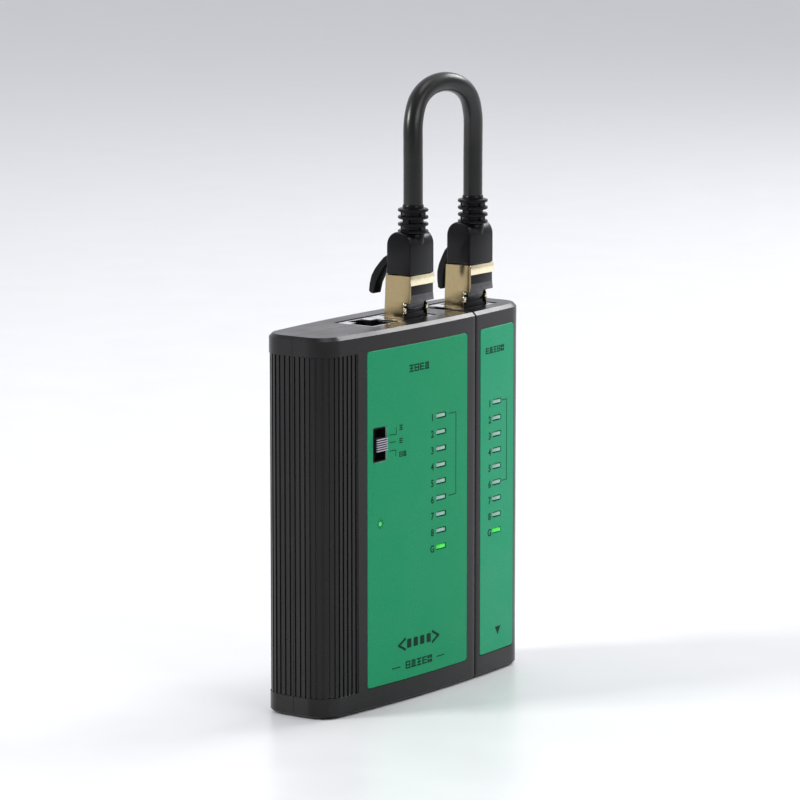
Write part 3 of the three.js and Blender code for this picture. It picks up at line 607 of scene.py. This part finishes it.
def jack_mouth(unit):
    """The opening in a unit's top that its sockets look out of."""
    ring = rounded_rect(*JACK_MOUTHS[unit], *JACK_Y, 0.4)
    return lofted("mouth", [[(x, y, z) for x, y in ring] for z in (100, CASE_HEIGHT + 1)])


# ---------- shells ----------
RAIL_HALF_NECK, RAIL_HALF_HEAD = 1.5, 2.7
RAIL_NECK_DEPTH, RAIL_HEAD_DEPTH, RAIL_FOOT = 1.6, 2.6, 5.7
DOOR = {"x0": -29.6, "x1": 1.4, "z0": 8, "z1": 66, "hinge_x": -28.7, "hinge_y": 12, "barrel": 0.9}
DOOR_THICK, DOOR_GAP, DOOR_HINGE_GAP = 1.5, 0.25, 0.6
BAY = {"x0": -27.7, "x1": -0.5, "z0": 10.1, "z1": 63, "wall": 1.2}
MAIN_SCREWS = [(-37.5, 12.5), (-37.5, 96), (15, 12.5), (15, 96)]
REMOTE_SCREWS = [(39.8, 12.5), (39.8, 80)]
SCREW_HEAD = 2.6
SCREW_FACE_IN = {"main": 2.6, "remote": 2.2}  # how far the screws' faces lie in from the back's middle
SCREW_WELL_DEPTH = 2
REMOTE_WALL = 3.2  # the remote unit's wall at the seam, which holds the slot


def plate_recess(span):
    """The shallow bed of a green plate, a hair larger than the plate all round."""
    wide = (span[0] - 0.12, span[1] + 0.2)
    tall = (PLATE_BOTTOM - 0.15, PLATE_TOP + 0.12)
    return curved_slab("recess", wide, tall, PLATE_CORNER, -1, PLATE_RECESS, 0.0)


def seam_limit(unit):
    """The x at which a unit's hollow stops short of the seam."""
    if unit == "main":
        return SEAM_X - SEAM_GAP / 2 - WALL
    return SEAM_X + SEAM_GAP / 2 + REMOTE_WALL


def front_shell(unit, plate):
    shell = shell_block(f"{unit}_front_case", unit)
    tools = [cavity(unit), plate_recess(plate), jack_mouth(unit)]
    tools.append(slot_prisms("slots", unit, 0.05, *FRONT_CUT))
    if unit == "main":
        tools.append(switch_hole(0))
        tools.append(power_hole(1.0))
    else:
        tools += rail_slot()
    return dressed(smooth(cut(shell, *tools)), unit, [f"{unit}_front_shell"])


def rail_slot():
    """The T-shaped slot in the remote unit that the main unit's rail slides along."""
    x0 = SEAM_X + SEAM_GAP / 2
    top = CASE_HEIGHT + 1
    neck = (x0 - 1, x0 + RAIL_NECK_DEPTH, -RAIL_HALF_NECK, RAIL_HALF_NECK, RAIL_FOOT, top)
    head = (x0 + 1, x0 + RAIL_HEAD_DEPTH, -RAIL_HALF_HEAD, RAIL_HALF_HEAD, RAIL_FOOT, top)
    return [boxes("neck", [neck]), boxes("head", [head])]


def screw_wells(places, unit):
    floor_y = CASE_DEPTH / 2 - SCREW_FACE_IN[unit] - SCREW_WELL_DEPTH
    return [drum("well", SCREW_HEAD, (x, floor_y, z), (x, 20, z)) for x, z in places]


def rear_shell(unit):
    shell = mirrored(shell_block(f"{unit}_rear_case", unit))
    hollow = mirrored(cavity(unit))
    if unit == "main":
        wall = BAY["wall"]
        bay = boxes(
            "bay_walls",
            [(BAY["x0"] - wall, BAY["x1"] + wall, -20, 20, BAY["z0"] - wall, BAY["z1"] + wall)],
        )
        cut(hollow, bay)
    cut(shell, hollow, jack_mouth(unit))
    if unit == "remote":
        cut(shell, *rail_slot(), *screw_wells(REMOTE_SCREWS, unit))
    else:
        inner = boxes("bay", [(BAY["x0"], BAY["x1"], -20, 20, BAY["z0"], BAY["z1"])])
        cut(shell, inner, *door_well(), *screw_wells(MAIN_SCREWS, unit))
    return dressed(smooth(shell), unit, [f"{unit}_rear_shell"])


def door_well():
    """The shallow well that the battery door closes into, with room for its hinge barrel."""
    span = (DOOR["x0"] - DOOR_HINGE_GAP, DOOR["x1"] + DOOR_GAP)
    z_span = (DOOR["z0"] - DOOR_GAP, DOOR["z1"] + DOOR_GAP)
    well = curved_slab("well", span, z_span, 0.25, -1, DOOR_THICK + 0.4, 0.0)
    return [mirrored(well), door_barrel(DOOR_GAP)]


def door_barrel(grow):
    x, y = DOOR["hinge_x"], DOOR["hinge_y"]
    return drum("barrel", DOOR["barrel"] + grow, (x, y, DOOR["z0"] - grow), (x, y, DOOR["z1"] + grow))


def battery_door():
    """The curved door with its hinge barrel and a scooped finger notch with grip lines."""
    span, z_span = (DOOR["hinge_x"], DOOR["x1"]), (DOOR["z0"], DOOR["z1"])
    panel = curved_slab("battery_door_panel", span, z_span, 0.5, 0.0, DOOR_THICK, 0.15, CASE_BLACK)
    join(mirrored(panel), door_barrel(0))
    scoop = drum("scoop", 6.5, (DOOR["x1"] + 2.6, 18.6, 30), (DOOR["x1"] + 2.6, 18.6, 44), 48)
    grips = boxes(
        "grips",
        [(-14 + 2.2 * i, -13.2 + 2.2 * i, 13.2, 20, 29, 45) for i in range(5)],
    )
    return dressed(smooth(cut(panel, scoop, grips)), "door", ["battery_door"])


front_shell("main", MAIN_PLATE)
front_shell("remote", REMOTE_PLATE)
rear_shell("main")
rear_shell("remote")
battery_door()


# ---------- front plates, windows and printed marks ----------
def faceplate(unit, span, look):
    plate = curved_slab(
        f"{unit}_green_plate", span, (PLATE_BOTTOM, PLATE_TOP), PLATE_CORNER, -PLATE_PROUD,
        PLATE_RECESS - 0.03, 0.14, look,
    )
    tools = [slot_prisms("slots", unit, 0.3, *FRONT_CUT)]
    if unit == "main":
        tools.append(switch_hole(LIP + 0.02))
        tools.append(power_hole(0.7))
    cut(plate, *tools)
    return dressed(smooth(plate), unit, [f"{unit}_faceplate"])


def light_bars(unit):
    """A frosted bar in each window, and a lit one at the foot."""
    x = LIGHT_X[unit]
    face = face_y(x)
    back, last = face + 3, LIGHT_COUNT - 1
    name = f"{unit}_light_windows"
    bars = bevelled(slot_prisms(name, unit, -0.04, face + 0.1, back, range(last), LIGHT_BAR), 0.1)
    dressed(smooth(bars), unit, [f"{unit}_light_guide"])
    name = f"{unit}_lit_window"
    lit = bevelled(slot_prisms(name, unit, 0.0, face + 0.05, back, [last], LIT_GREEN), 0.1)
    dressed(smooth(lit), unit, [f"{unit}_shield_line_lens"])


def power_lens():
    """A small domed lens."""
    face = face_y(POWER_X)
    rings = []
    for depth, radius in [(3, 0.62), (0.0, 0.62), (-0.12, 0.58), (-0.22, 0.44), (-0.28, 0.2)]:
        turn = [2 * math.pi * i / 32 for i in range(32)]
        rings.append(
            [(POWER_X + radius * math.cos(t), face + depth, POWER_Z + radius * math.sin(t)) for t in turn]
        )
    lens = lofted("power_window", rings, LIT_GREEN)
    return dressed(smooth(lens), "main", ["power_lens"])


PRINT_HEIGHT = 0.03
DIGIT_HEIGHT = 2.1
DIGIT_X = {"main": -1.5, "remote": 28.6}
DIGIT_SHARE = 0.72  # a digit's height as a share of its font size


def printed(name, unit, outlines):
    """Flat printed shapes on a unit's plate: each outline is a list of (x, z)."""
    points, faces = [], []
    for outline in outlines:
        rings = []
        for lift in (-PLATE_PROUD + 0.01, -PLATE_PROUD - PRINT_HEIGHT):
            rings.append([(x, face_y(x, lift), z) for x, z in outline])
        more, sides = loft(rings)
        faces += [[k + len(points) for k in f] for f in sides]
        points += more
    made = mesh_object(name, points, faces, PRINT_BLACK)
    return dressed(made, unit)


def rect(x0, x1, z0, z1):
    return [(x0, z0), (x1, z0), (x1, z1), (x0, z1)]


def stroke(points, width):
    """A line of straight strokes as rectangles, each run on by half a width at both ends."""
    found = []
    for (ax, az), (bx, bz) in zip(points, points[1:]):
        a, b = Vector((ax, az)), Vector((bx, bz))
        along = (b - a).normalized() * width / 2
        across = Vector((-along.y, along.x))
        corners = [a - along - across, b + along - across, b + along + across, a - along + across]
        found.append([tuple(c) for c in corners])
    return found


GLYPH_WEIGHT = 0.06  # how far a digit's outline is spread to make it bolder


def glyph(text, x, z, height):
    """A printed digit or letter as flat faces, centred at x and z."""
    curve = bpy.data.curves.new("glyph", "FONT")
    curve.body = text
    curve.align_x, curve.align_y = "CENTER", "CENTER"
    curve.size = height / DIGIT_SHARE
    curve.resolution_u = 4
    curve.offset = GLYPH_WEIGHT
    holder = bpy.data.objects.new("glyph", curve)
    bpy.context.scene.collection.objects.link(holder)
    graph = bpy.context.evaluated_depsgraph_get()
    flat = bpy.data.meshes.new_from_object(holder.evaluated_get(graph))
    low = min(v.co.y for v in flat.vertices)
    high = max(v.co.y for v in flat.vertices)
    middle = (low + high) / 2
    points = [(x + v.co.x, z + v.co.y - middle) for v in flat.vertices]
    faces = [list(p.vertices) for p in flat.polygons]
    bpy.data.objects.remove(holder)
    bpy.data.meshes.remove(flat)
    return points, faces


def printed_glyphs(name, unit, glyphs):
    """Digits raised a hair's breadth from the plate."""
    points, faces = [], []
    for flat_points, flat_faces in glyphs:
        start = len(points)
        count = len(flat_points)
        edges = {}
        for face in flat_faces:
            for a, b in zip(face, face[1:] + face[:1]):
                edges[(a, b)] = True
        points += [(x, face_y(x, -PLATE_PROUD - PRINT_HEIGHT), z) for x, z in flat_points]
        points += [(x, face_y(x, -PLATE_PROUD + 0.01), z) for x, z in flat_points]
        faces += [[start + k for k in f] for f in flat_faces]
        faces += [[start + count + k for k in reversed(f)] for f in flat_faces]
        for a, b in edges:
            if (b, a) not in edges:
                faces.append([start + b, start + a, start + count + a, start + count + b])
    made = mesh_object(name, points, faces, PRINT_BLACK)
    return dressed(made, unit)


# Small generic pictograms in a unit square, as rectangles (x0, x1, z0, z1).
ICONS = [
    [(0, 1, 0.82, 1), (0.4, 0.6, 0, 1), (0.1, 0.9, 0.4, 0.58), (0, 1, 0, 0.18)],
    [(0, 0.2, 0, 1), (0.8, 1, 0, 1), (0, 1, 0.82, 1), (0, 1, 0, 0.18), (0.2, 0.8, 0.41, 0.59)],
    [(0, 1, 0.8, 0.98), (0, 1, 0.41, 0.59), (0, 1, 0.02, 0.2), (0.08, 0.28, 0.02, 0.98)],
    [(0.1, 0.9, 0.82, 1), (0.1, 0.3, 0.1, 1), (0.7, 0.9, 0.1, 1), (0, 1, 0, 0.18), (0.4, 0.6, 0, 1)],
    [(0, 0.44, 0.56, 1), (0.56, 1, 0.56, 1), (0, 0.44, 0, 0.44), (0.56, 1, 0, 0.44)],
]


def icon_row(order, x, z, size, gap):
    """A row of pictograms centred at x and z."""
    pitch = size + gap
    left = x - (pitch * len(order) - gap) / 2
    found = []
    for place, kind in enumerate(order):
        for x0, x1, z0, z1 in ICONS[kind]:
            base = left + place * pitch
            low = z - size / 2
            found.append(rect(base + x0 * size, base + x1 * size, low + z0 * size, low + z1 * size))
    return found


LINE = 0.22  # width of a printed line


def bracket(x_start, x_end):
    """The line that gathers the lights of the first six wires."""
    top, foot = light_z(0), light_z(5)
    return stroke([(x_start, top), (x_end, top), (x_end, foot), (x_start, foot)], LINE)


def sun_rays():
    """Eight short ticks round the power light."""
    found = []
    for i in range(8):
        turn = math.pi * i / 4
        ends = [(POWER_X + r * math.cos(turn), POWER_Z + r * math.sin(turn)) for r in (0.95, 1.4)]
        found += stroke(ends, 0.16)
    return found


def switch_marks():
    """Leader lines from the switch's three places to a pictogram each."""
    start_x, top, middle, foot = -21.5, (-18.5, 79.9), (-19.0, 76.0), (-18.7, 72.0)
    leaders = stroke([(start_x, 78.2), (top[0], 78.1), top], LINE)
    leaders += stroke([(start_x, middle[1]), middle], LINE)
    leaders += stroke([(start_x, 73.6), (foot[0], 73.6), foot], LINE)
    printed("switch_leader_print", "main", leaders)
    labels = icon_row([0], -16.3, 79.8, 1.5, 0.2)
    labels += icon_row([2], -16.3, 76.0, 1.5, 0.2)
    labels += icon_row([1, 3], -15.5, 72.1, 1.5, 0.25)
    printed("switch_label_print", "main", labels)


BADGE_X, BADGE_Z = -7.9, 16.7
BADGE_NEAR, BADGE_FAR, BADGE_RISE = 6.6, 9.4, 1.5  # an arrow head's ends and point
BADGE_LINE = 0.75
BADGE_BAR = {"count": 4, "pitch": 3.1, "half_wide": 1.0, "half_tall": 1.3}


def badge():
    """A generic badge: bars between two arrow heads."""
    found = []
    for side in (-1, 1):
        near, point = BADGE_X + side * BADGE_NEAR, BADGE_X + side * BADGE_FAR
        head = [(near, BADGE_Z + BADGE_RISE), (point, BADGE_Z), (near, BADGE_Z - BADGE_RISE)]
        found += stroke(head, BADGE_LINE)
    wide, tall = BADGE_BAR["half_wide"], BADGE_BAR["half_tall"]
    for i in range(BADGE_BAR["count"]):
        x = BADGE_X + (i - (BADGE_BAR["count"] - 1) / 2) * BADGE_BAR["pitch"]
        found.append(rounded_rect(x - wide, x + wide, BADGE_Z - tall, BADGE_Z + tall, 0.3))
    return found


def main_marks():
    printed("main_bracket_print", "main", bracket(6.8, 10.3))
    printed("main_title_print", "main", icon_row([0, 1, 2, 3], -7.8, 96.1, 2.1, 0.35))
    printed("power_ray_print", "main", sun_rays())
    switch_marks()
    printed("badge_print", "main", badge())
    dashes = [rect(-20.4, -16.6, 10.3, 10.6), rect(0.8, 4.6, 10.3, 10.6)]
    icons = icon_row([1, 3, 0, 2, 4], BADGE_X, 10.5, 2.2, 0.4)
    printed("badge_line_print", "main", dashes + icons)


def remote_marks():
    printed("remote_bracket_print", "remote", bracket(35.7, 38.4))
    printed("remote_title_print", "remote", icon_row([2, 3, 0, 1, 4], 31.4, 96.3, 1.85, 0.3))
    printed("remote_arrow_print", "remote", [[(31.9, 13.6), (33.5, 11.1), (35.1, 13.6)]])


def digit_column(unit):
    """The digits 1 to 8 beside the lights, and a G for the shield line."""
    texts = [str(i + 1) for i in range(LIGHT_COUNT - 1)] + ["G"]
    x = DIGIT_X[unit]
    glyphs = [glyph(text, x, light_z(i) - 0.15, DIGIT_HEIGHT) for i, text in enumerate(texts)]
    printed_glyphs(f"{unit}_digit_print", unit, glyphs)


faceplate("main", MAIN_PLATE, PLATE_GREEN)
faceplate("remote", REMOTE_PLATE, PALE_GREEN)
light_bars("main")
light_bars("remote")
power_lens()
main_marks()
remote_marks()
digit_column("main")
digit_column("remote")


# ---------- switch ----------
def switch_well():
    """The black-walled window that the knob slides in."""
    face = face_y(SWITCH_X)

    def block(inset, y0, y1):
        half_wide, half_tall = SWITCH_SIZE[0] / 2 - inset, SWITCH_SIZE[1] / 2 - inset
        across = (SWITCH_X - half_wide, SWITCH_X + half_wide)
        return (*across, y0, y1, SWITCH_Z - half_tall, SWITCH_Z + half_tall)

    well = boxes("switch_well", [block(0.02, face + 0.1, face + 3.2)], RECESS_BLACK)
    inner = boxes("inner", [block(0.2, face - 1, face + 2.9)])
    return dressed(cut(well, inner), "main", ["switch_housing"])


KNOB_HALF_WIDE, KNOB_HALF_TALL, KNOB_PROUD = 2.5, 1.95, 1.0
KNOB_RIDGES, RIDGE_HEIGHT, RIDGE_MARGIN = 6, 0.4, 0.19


def switch_knob():
    """A black finger block with ridges across its front, painted pale grey as highlights on their crests.
    """
    face = face_y(SWITCH_X)
    base = face - KNOB_PROUD + RIDGE_HEIGHT
    left, right = SWITCH_X - KNOB_HALF_WIDE, SWITCH_X + KNOB_HALF_WIDE
    low, high = SWITCH_Z - KNOB_HALF_TALL, SWITCH_Z + KNOB_HALF_TALL
    block = boxes("switch_knob_block", [(left, right, base, face + 1.5, low, high)], RECESS_BLACK)
    dressed(bevelled(block, 0.08), "switch", ["switch_knob"])
    pitch = 2 * KNOB_HALF_TALL / KNOB_RIDGES
    feet = [low + i * pitch + RIDGE_MARGIN for i in range(KNOB_RIDGES)]
    tall = pitch - 2 * RIDGE_MARGIN
    spans = [(left, right, base - RIDGE_HEIGHT, base + 0.1, z, z + tall) for z in feet]
    # The ridges are painted pale grey as highlights.
    ridges = boxes("switch_knob_ridges", spans, KNOB_RIDGE_HIGHLIGHT)
    return dressed(bevelled(ridges, 0.08), "switch")


def switch_lip():
    """The moulded edge of the window, sloping in from the plate, painted pale green as a highlight."""
    wide, tall = SWITCH_SIZE

    def ring(grow, inset):
        outline = rounded_rect(
            SWITCH_X - wide / 2 - grow, SWITCH_X + wide / 2 + grow,
            SWITCH_Z - tall / 2 - grow, SWITCH_Z + tall / 2 + grow, 0.3 + grow,
        )
        return [(x, face_y(x, inset), z) for x, z in outline]

    lip = lofted("switch_lip", [ring(LIP, -PLATE_PROUD - 0.03), ring(LIP, PLATE_RECESS - 0.05)], LIP_HIGHLIGHT_GREEN)
    inner = lofted("inner", [ring(LIP + 0.02, -PLATE_PROUD - 0.06), ring(-0.01, PLATE_RECESS)])
    return dressed(smooth(cut(lip, inner), 30), "main")


switch_well()
switch_knob()
switch_lip()


# ---------- plugs ----------
CONTACT_COUNT, CONTACT_PITCH = 8, 1.02
SHEET = 0.35  # thickness of the shield
HIGHLIGHT_BAND_Z = (117.9, 120.75)  # foot and top of the pale gold band across the shield's front, a painted highlight


def contact_x(x, i):
    return x + (i - (CONTACT_COUNT - 1) / 2) * CONTACT_PITCH


def plug_shield(side, x):
    """The gold sheet sleeve: a tall thick part above the case and a thinner nose in the socket."""
    half = PLUG_HALF
    top_back, low_back = SHIELD_BACK["top"], SHIELD_BACK["socket"]
    step_back = top_back + (low_back - top_back) * 0.6
    upper = lofted(
        f"{side}_plug_sleeve",
        [
            [(a, b, z) for a, b in rounded_rect(x - half, x + half, PLUG_FRONT, back, 0.4)]
            for z, back in ((PLUG_STEP, step_back), (SHIELD_TOP, top_back))
        ],
        GOLD,
    )
    nose = lofted(
        "nose",
        [
            [(a, b, z) for a, b in rounded_rect(x - half, x + half, PLUG_NOSE, back, 0.4)]
            for z, back in ((PLUG_TIP + 2, low_back), (108, low_back), (PLUG_STEP + 0.4, step_back))
        ],
    )
    join(upper, nose)
    window = boxes("window", [(x - half + 0.6, x + half + 1, -8, PLUG_FRONT + 1.2, 112, HIGHLIGHT_BAND_Z[0])])
    comb = boxes("comb", [(x - half + 0.3, x + half - 0.3, -8, PLUG_NOSE + 1.5, 97, 114)])
    left, right, back = x - half + SHEET, x + half - SHEET, top_back - SHEET
    over = SHIELD_TOP + 1
    inside = boxes("inside", [(left, right, PLUG_NOSE + SHEET, back, 97, over)])
    inside_top = boxes("inside_top", [(left, right, PLUG_FRONT + SHEET, back, PLUG_STEP + SHEET, over)])
    cut(upper, window, comb, inside, inside_top)
    dressed(smooth(upper), "cord", [f"{side}_plug_shield"])
    # A thin pale gold sheet across the shield's front that stands for a painted highlight.
    band = boxes(
        f"{side}_plug_highlight_band",
        [(x - half + 0.35, x + half + 0.12, PLUG_FRONT - 0.15, PLUG_FRONT + 0.1, *HIGHLIGHT_BAND_Z)],
        GOLD_HIGHLIGHT,
    )
    dressed(smooth(bevelled(band, 0.1)), "cord")
    # The tabs are pale gold as a painted highlight.
    tabs = boxes(
        f"{side}_plug_tabs",
        [
            (x + s * 5.35 - 0.5, x + s * 5.35 + 0.5, PLUG_NOSE - 0.3, PLUG_NOSE + 0.4, z, z + high)
            for s in (-1, 1)
            for z, high in ((109.9, 1.5), (112.0, 0.8))
        ],
        GOLD_HIGHLIGHT,
    )
    dressed(smooth(bevelled(tabs, 0.2)), "cord")


def plug_insert(side, x):
    """The dark moulded body in the shield, with its contact comb towards the tip."""
    half = PLUG_HALF - 0.45
    right, back = x + PLUG_HALF - 0.05, 0.7
    nose = (x - half, x + half, PLUG_NOSE + 0.25, back, PLUG_TIP, PLUG_STEP + 0.5)
    body = boxes(f"{side}_plug_moulding", [nose], INSERT_BLACK)
    upper = (x - half, right, PLUG_FRONT + 0.3, back, PLUG_STEP + 0.1, SHIELD_TOP - 0.5)
    join(body, boxes("block", [upper]))
    wires = [contact_x(x, i) for i in range(CONTACT_COUNT)]
    combs = boxes("combs", [(w - 0.27, w + 0.27, -7, PLUG_NOSE + 1.4, 99.5, 106.5) for w in wires])
    sides = [x - 5.1, x + 5.1]
    cheek_y = (-7, PLUG_NOSE + 0.9)
    cheeks = boxes("cheeks", [(a - 0.9, a + 0.9, *cheek_y, 108.9, PLUG_STEP - 0.3) for a in sides])
    ledge = boxes("ledge", [(x - half - 1, x + half + 1, -8, PLUG_NOSE + 0.7, 109.9, 110.4)])
    cut(body, combs, cheeks, ledge)
    bevelled(body, 0.1, 2, 50)
    dressed(smooth(body), "cord", [f"{side}_plug_insert"])
    sill = [
        (x - half + 0.2, PLUG_FRONT + 0.05, PLUG_STEP),
        (x + PLUG_HALF, PLUG_FRONT + 0.05, PLUG_STEP),
        (x + PLUG_HALF, PLUG_FRONT + 0.3, 115.2),
        (x - half + 0.2, PLUG_FRONT + 0.3, 115.2),
    ]
    back = [(a, PLUG_FRONT + 1, c) for a, _, c in sill]
    face = bevelled(lofted(f"{side}_plug_window", [sill, back], WINDOW_GREY), 0.06)
    dressed(smooth(face), "cord")
    tongue = [(x - 4.2, 112.9), (x + 4.2, 112.9), (x + 3.4, 110.9), (x - 3.4, 110.9)]
    rings = [[(a, y, c) for a, c in tongue] for y in (PLUG_NOSE - 0.15, PLUG_NOSE + 0.5)]
    wedge = bevelled(lofted(f"{side}_plug_tongue", rings, WINDOW_GREY), 0.06)
    dressed(smooth(wedge), "cord")
    blades = [(w - 0.17, w + 0.17, PLUG_NOSE + 0.5, PLUG_NOSE + 1.6, 99.6, 106.4) for w in wires]
    contacts = boxes(f"{side}_plug_contacts", blades, CONTACT_GOLD)
    dressed(contacts, "cord")


def plug_boot(side, x):
    """The moulded boot: a plain block seen from the front, with a round arch seen from the side."""
    middle = (PLUG_BACK + PLUG_FRONT) / 2
    depth = (PLUG_BACK - PLUG_FRONT) / 2
    arch_z = BOOT_TOP - depth
    arch = [(PLUG_FRONT, SHIELD_TOP + 0.15), (PLUG_BACK, SHIELD_TOP + 0.15)]
    for a in range(0, 181, 9):
        turn = math.radians(a)
        arch.append((middle + depth * math.cos(turn), arch_z + depth * math.sin(turn)))
    half = PLUG_HALF - 0.08
    rings = [[(px, y, z) for y, z in arch] for px in (x - half, x + half)]
    boot = bevelled(lofted(f"{side}_plug_boot_body", rings, BOOT_BLACK), 0.35, 3, 50)
    return dressed(smooth(boot, 40), "cord", [f"{side}_plug_boot"])


def plug_relief(side, x):
    """A neck with four rings, bridged by webs that turn a quarter from one gap to the next."""
    neck, ring, pitch, first = 3.05, 4.4, 2.03, 133.1
    web_reach, web_half = 3.7, 1.0
    sides = 48
    turn = [2 * math.pi * i / sides for i in range(sides)]
    profile = [(128.4, neck + 0.04), (130.5, neck + 0.2), (132.2, neck + 0.2)]
    for i in range(4):
        z = first + i * pitch
        profile += [
            (z - 0.55, neck), (z - 0.5, ring - 0.35), (z - 0.33, ring - 0.07), (z, ring),
            (z + 0.33, ring - 0.07), (z + 0.5, ring - 0.35), (z + 0.55, neck),
        ]
    profile += [(140.5, neck), (140.8, neck - 0.2)]
    rings = [[(x + r * math.cos(t), CORD_Y + r * math.sin(t), z) for t in turn] for z, r in profile]
    relief = lofted(f"{side}_plug_relief_rings", rings, BOOT_BLACK)
    webs = []
    for i in range(3):
        low, high = first + i * pitch, first + (i + 1) * pitch
        dx, dy = (web_reach, web_half) if i % 2 else (web_half, web_reach)
        webs.append((x - dx, x + dx, CORD_Y - dy, CORD_Y + dy, low, high))
    join(relief, boxes("webs", webs))
    return dressed(smooth(relief, 40), "cord", [f"{side}_plug_relief"])


COVER_HINGE = (1.95, 125.8)
COVER_HALF = 1.75
COVER_TUCK = {"main": 0, "remote": 16}
# Side outline (y, z) of a latch cover before it is tucked in towards its plug.
COVER_OUTLINE = [
    (1.65, 125.2),
    (2.4, 124.8),
    (3.3, 124.2),
    (4.25, 123.4),
    (5.7, 121.5),
    (7.1, 119.2),
    (8.1, 117.3),
    (8.6, 115.4),
    (8.9, 114.2),
    (10.1, 114.3),
    (10.8, 114.9),
    (10.5, 117.1),
    (9.85, 119.45),
    (8.6, 121.55),
    (7.1, 123.3),
    (5.5, 125),
    (3.7, 126.1),
    (2.6, 126.5),
    (1.65, 126.6),
]


def latch_cover(side, x):
    """The curved horn that springs from the back of the boot over the latch."""
    lean = math.radians(-COVER_TUCK[side])
    root_y, root_z = COVER_HINGE
    turned = []
    for y, z in COVER_OUTLINE:
        dy, dz = y - root_y, z - root_z
        turned_y = root_y + dy * math.cos(lean) - dz * math.sin(lean)
        turned_z = root_z + dy * math.sin(lean) + dz * math.cos(lean)
        turned.append((max(turned_y, PLUG_BACK + 0.3), turned_z))
    rings = [[(px, y, z) for y, z in turned] for px in (x - COVER_HALF, x + COVER_HALF)]
    cover = bevelled(lofted(f"{side}_latch_horn", rings, BOOT_BLACK), 0.25, 3, 50)
    return dressed(smooth(cover, 40), f"{side}_cover", [f"{side}_latch_cover"])


for plug_side, plug_x in PLUG_X.items():
    plug_shield(plug_side, plug_x)
    plug_insert(plug_side, plug_x)
    plug_boot(plug_side, plug_x)
    plug_relief(plug_side, plug_x)
    latch_cover(plug_side, plug_x)

# ---------- CAD nodes that show as they are ----------
CARRIED = {
    "dock_rail": CASE_BLACK,
    "main_circuit_board": BOARD_GREEN,
    "remote_circuit_board": BOARD_GREEN,
    "main_controller_chip": CHIP_BLACK,
    "battery": BATTERY_WRAP,
    "battery_snap": CHIP_BLACK,
    "battery_lead_positive": LEAD_RED,
    "battery_lead_negative": LEAD_BLACK,
    "main_latch_lever": CLEAR_LATCH,
    "remote_latch_lever": CLEAR_LATCH,
}
for jack in ("free", "main", "remote"):
    CARRIED[f"{jack}_jack_shield"] = STEEL
    CARRIED[f"{jack}_jack_housing"] = INSERT_BLACK
    CARRIED[f"{jack}_jack_contacts"] = CONTACT_GOLD
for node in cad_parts:
    if "screw_" in node:
        CARRIED[node] = SCREW_STEEL

for node, look in CARRIED.items():
    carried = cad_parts[node]
    carried.data.materials.clear()
    carried.data.materials.append(look)
    edge = carried.modifiers.new("bevel", "BEVEL")
    edge.width = 0.12 * MM
    edge.segments = 2
    edge.limit_method = "ANGLE"
    edge.angle_limit = math.radians(40)


# ---------- floor, light and surroundings ----------
def floor_material():
    material, tree, shader = shader_tree("pale_floor")
    haze = noise(tree, 30, 3)
    tone = two_tone(tree, haze.outputs["Fac"], (0.80, 0.81, 0.82), (0.83, 0.84, 0.85))
    tree.links.new(tone, shader.inputs["Base Color"])
    tree.links.new(spread(tree, haze.outputs["Fac"], 0.3, 0.36), shader.inputs["Roughness"])
    return material


floor = mesh_object(
    "floor",
    [(-3000, -3000, 0), (3000, -3000, 0), (3000, 3000, 0), (-3000, 3000, 0)],
    [(0, 1, 2, 3)],
    floor_material(),
)


def softbox(name, place, target, size, power):
    """A rectangular lamp turned to its target."""
    data = bpy.data.lights.new(name, "AREA")
    data.shape = "RECTANGLE"
    data.size, data.size_y = size
    data.energy = power
    lamp = bpy.data.objects.new(name, data)
    lamp.location = place
    lamp.rotation_mode = "QUATERNION"
    lamp.rotation_quaternion = (Vector(target) - Vector(place)).to_track_quat("-Z", "Y")
    bpy.context.scene.collection.objects.link(lamp)


MIDDLE = (0, 0, 0.06)
softbox("window_light", (1.35, -0.27, 1.07), MIDDLE, (0.9, 0.55), 16)
softbox("front_light", (-0.15, -1.5, 0.85), MIDDLE, (1.2, 0.6), 7)
softbox("side_light", (-0.98, 0.71, 0.75), MIDDLE, (0.4, 0.3), 13)
softbox("top_light", (0.1, -0.3, 1.7), MIDDLE, (0.7, 0.7), 4)


def studio_world():
    """A pale backdrop behind the object that fades to a dim room on the viewer's side."""
    world = bpy.data.worlds.new("studio")
    world.use_nodes = True
    tree = world.node_tree
    sky = tree.nodes["Background"]
    place = tree.nodes.new("ShaderNodeTexCoord")
    facing = tree.nodes.new("ShaderNodeVectorMath")
    facing.operation = "DOT_PRODUCT"
    facing.inputs[1].default_value = (0.81, 0.58, 0.05)
    tree.links.new(place.outputs["Generated"], facing.inputs[0])
    fade = tree.nodes.new("ShaderNodeMapRange")
    fade.interpolation_type = "SMOOTHSTEP"
    fade.inputs["From Min"].default_value = -0.6
    fade.inputs["From Max"].default_value = 0.9
    fade.inputs["To Min"].default_value = 0.22
    fade.inputs["To Max"].default_value = 0.99
    tree.links.new(facing.outputs["Value"], fade.inputs["Value"])
    tree.links.new(fade.outputs["Result"], sky.inputs["Strength"])
    sky.inputs["Color"].default_value = (0.88, 0.88, 0.93, 1)
    bpy.context.scene.world = world


studio_world()
bpy.context.scene.view_settings.view_transform = "Standard"
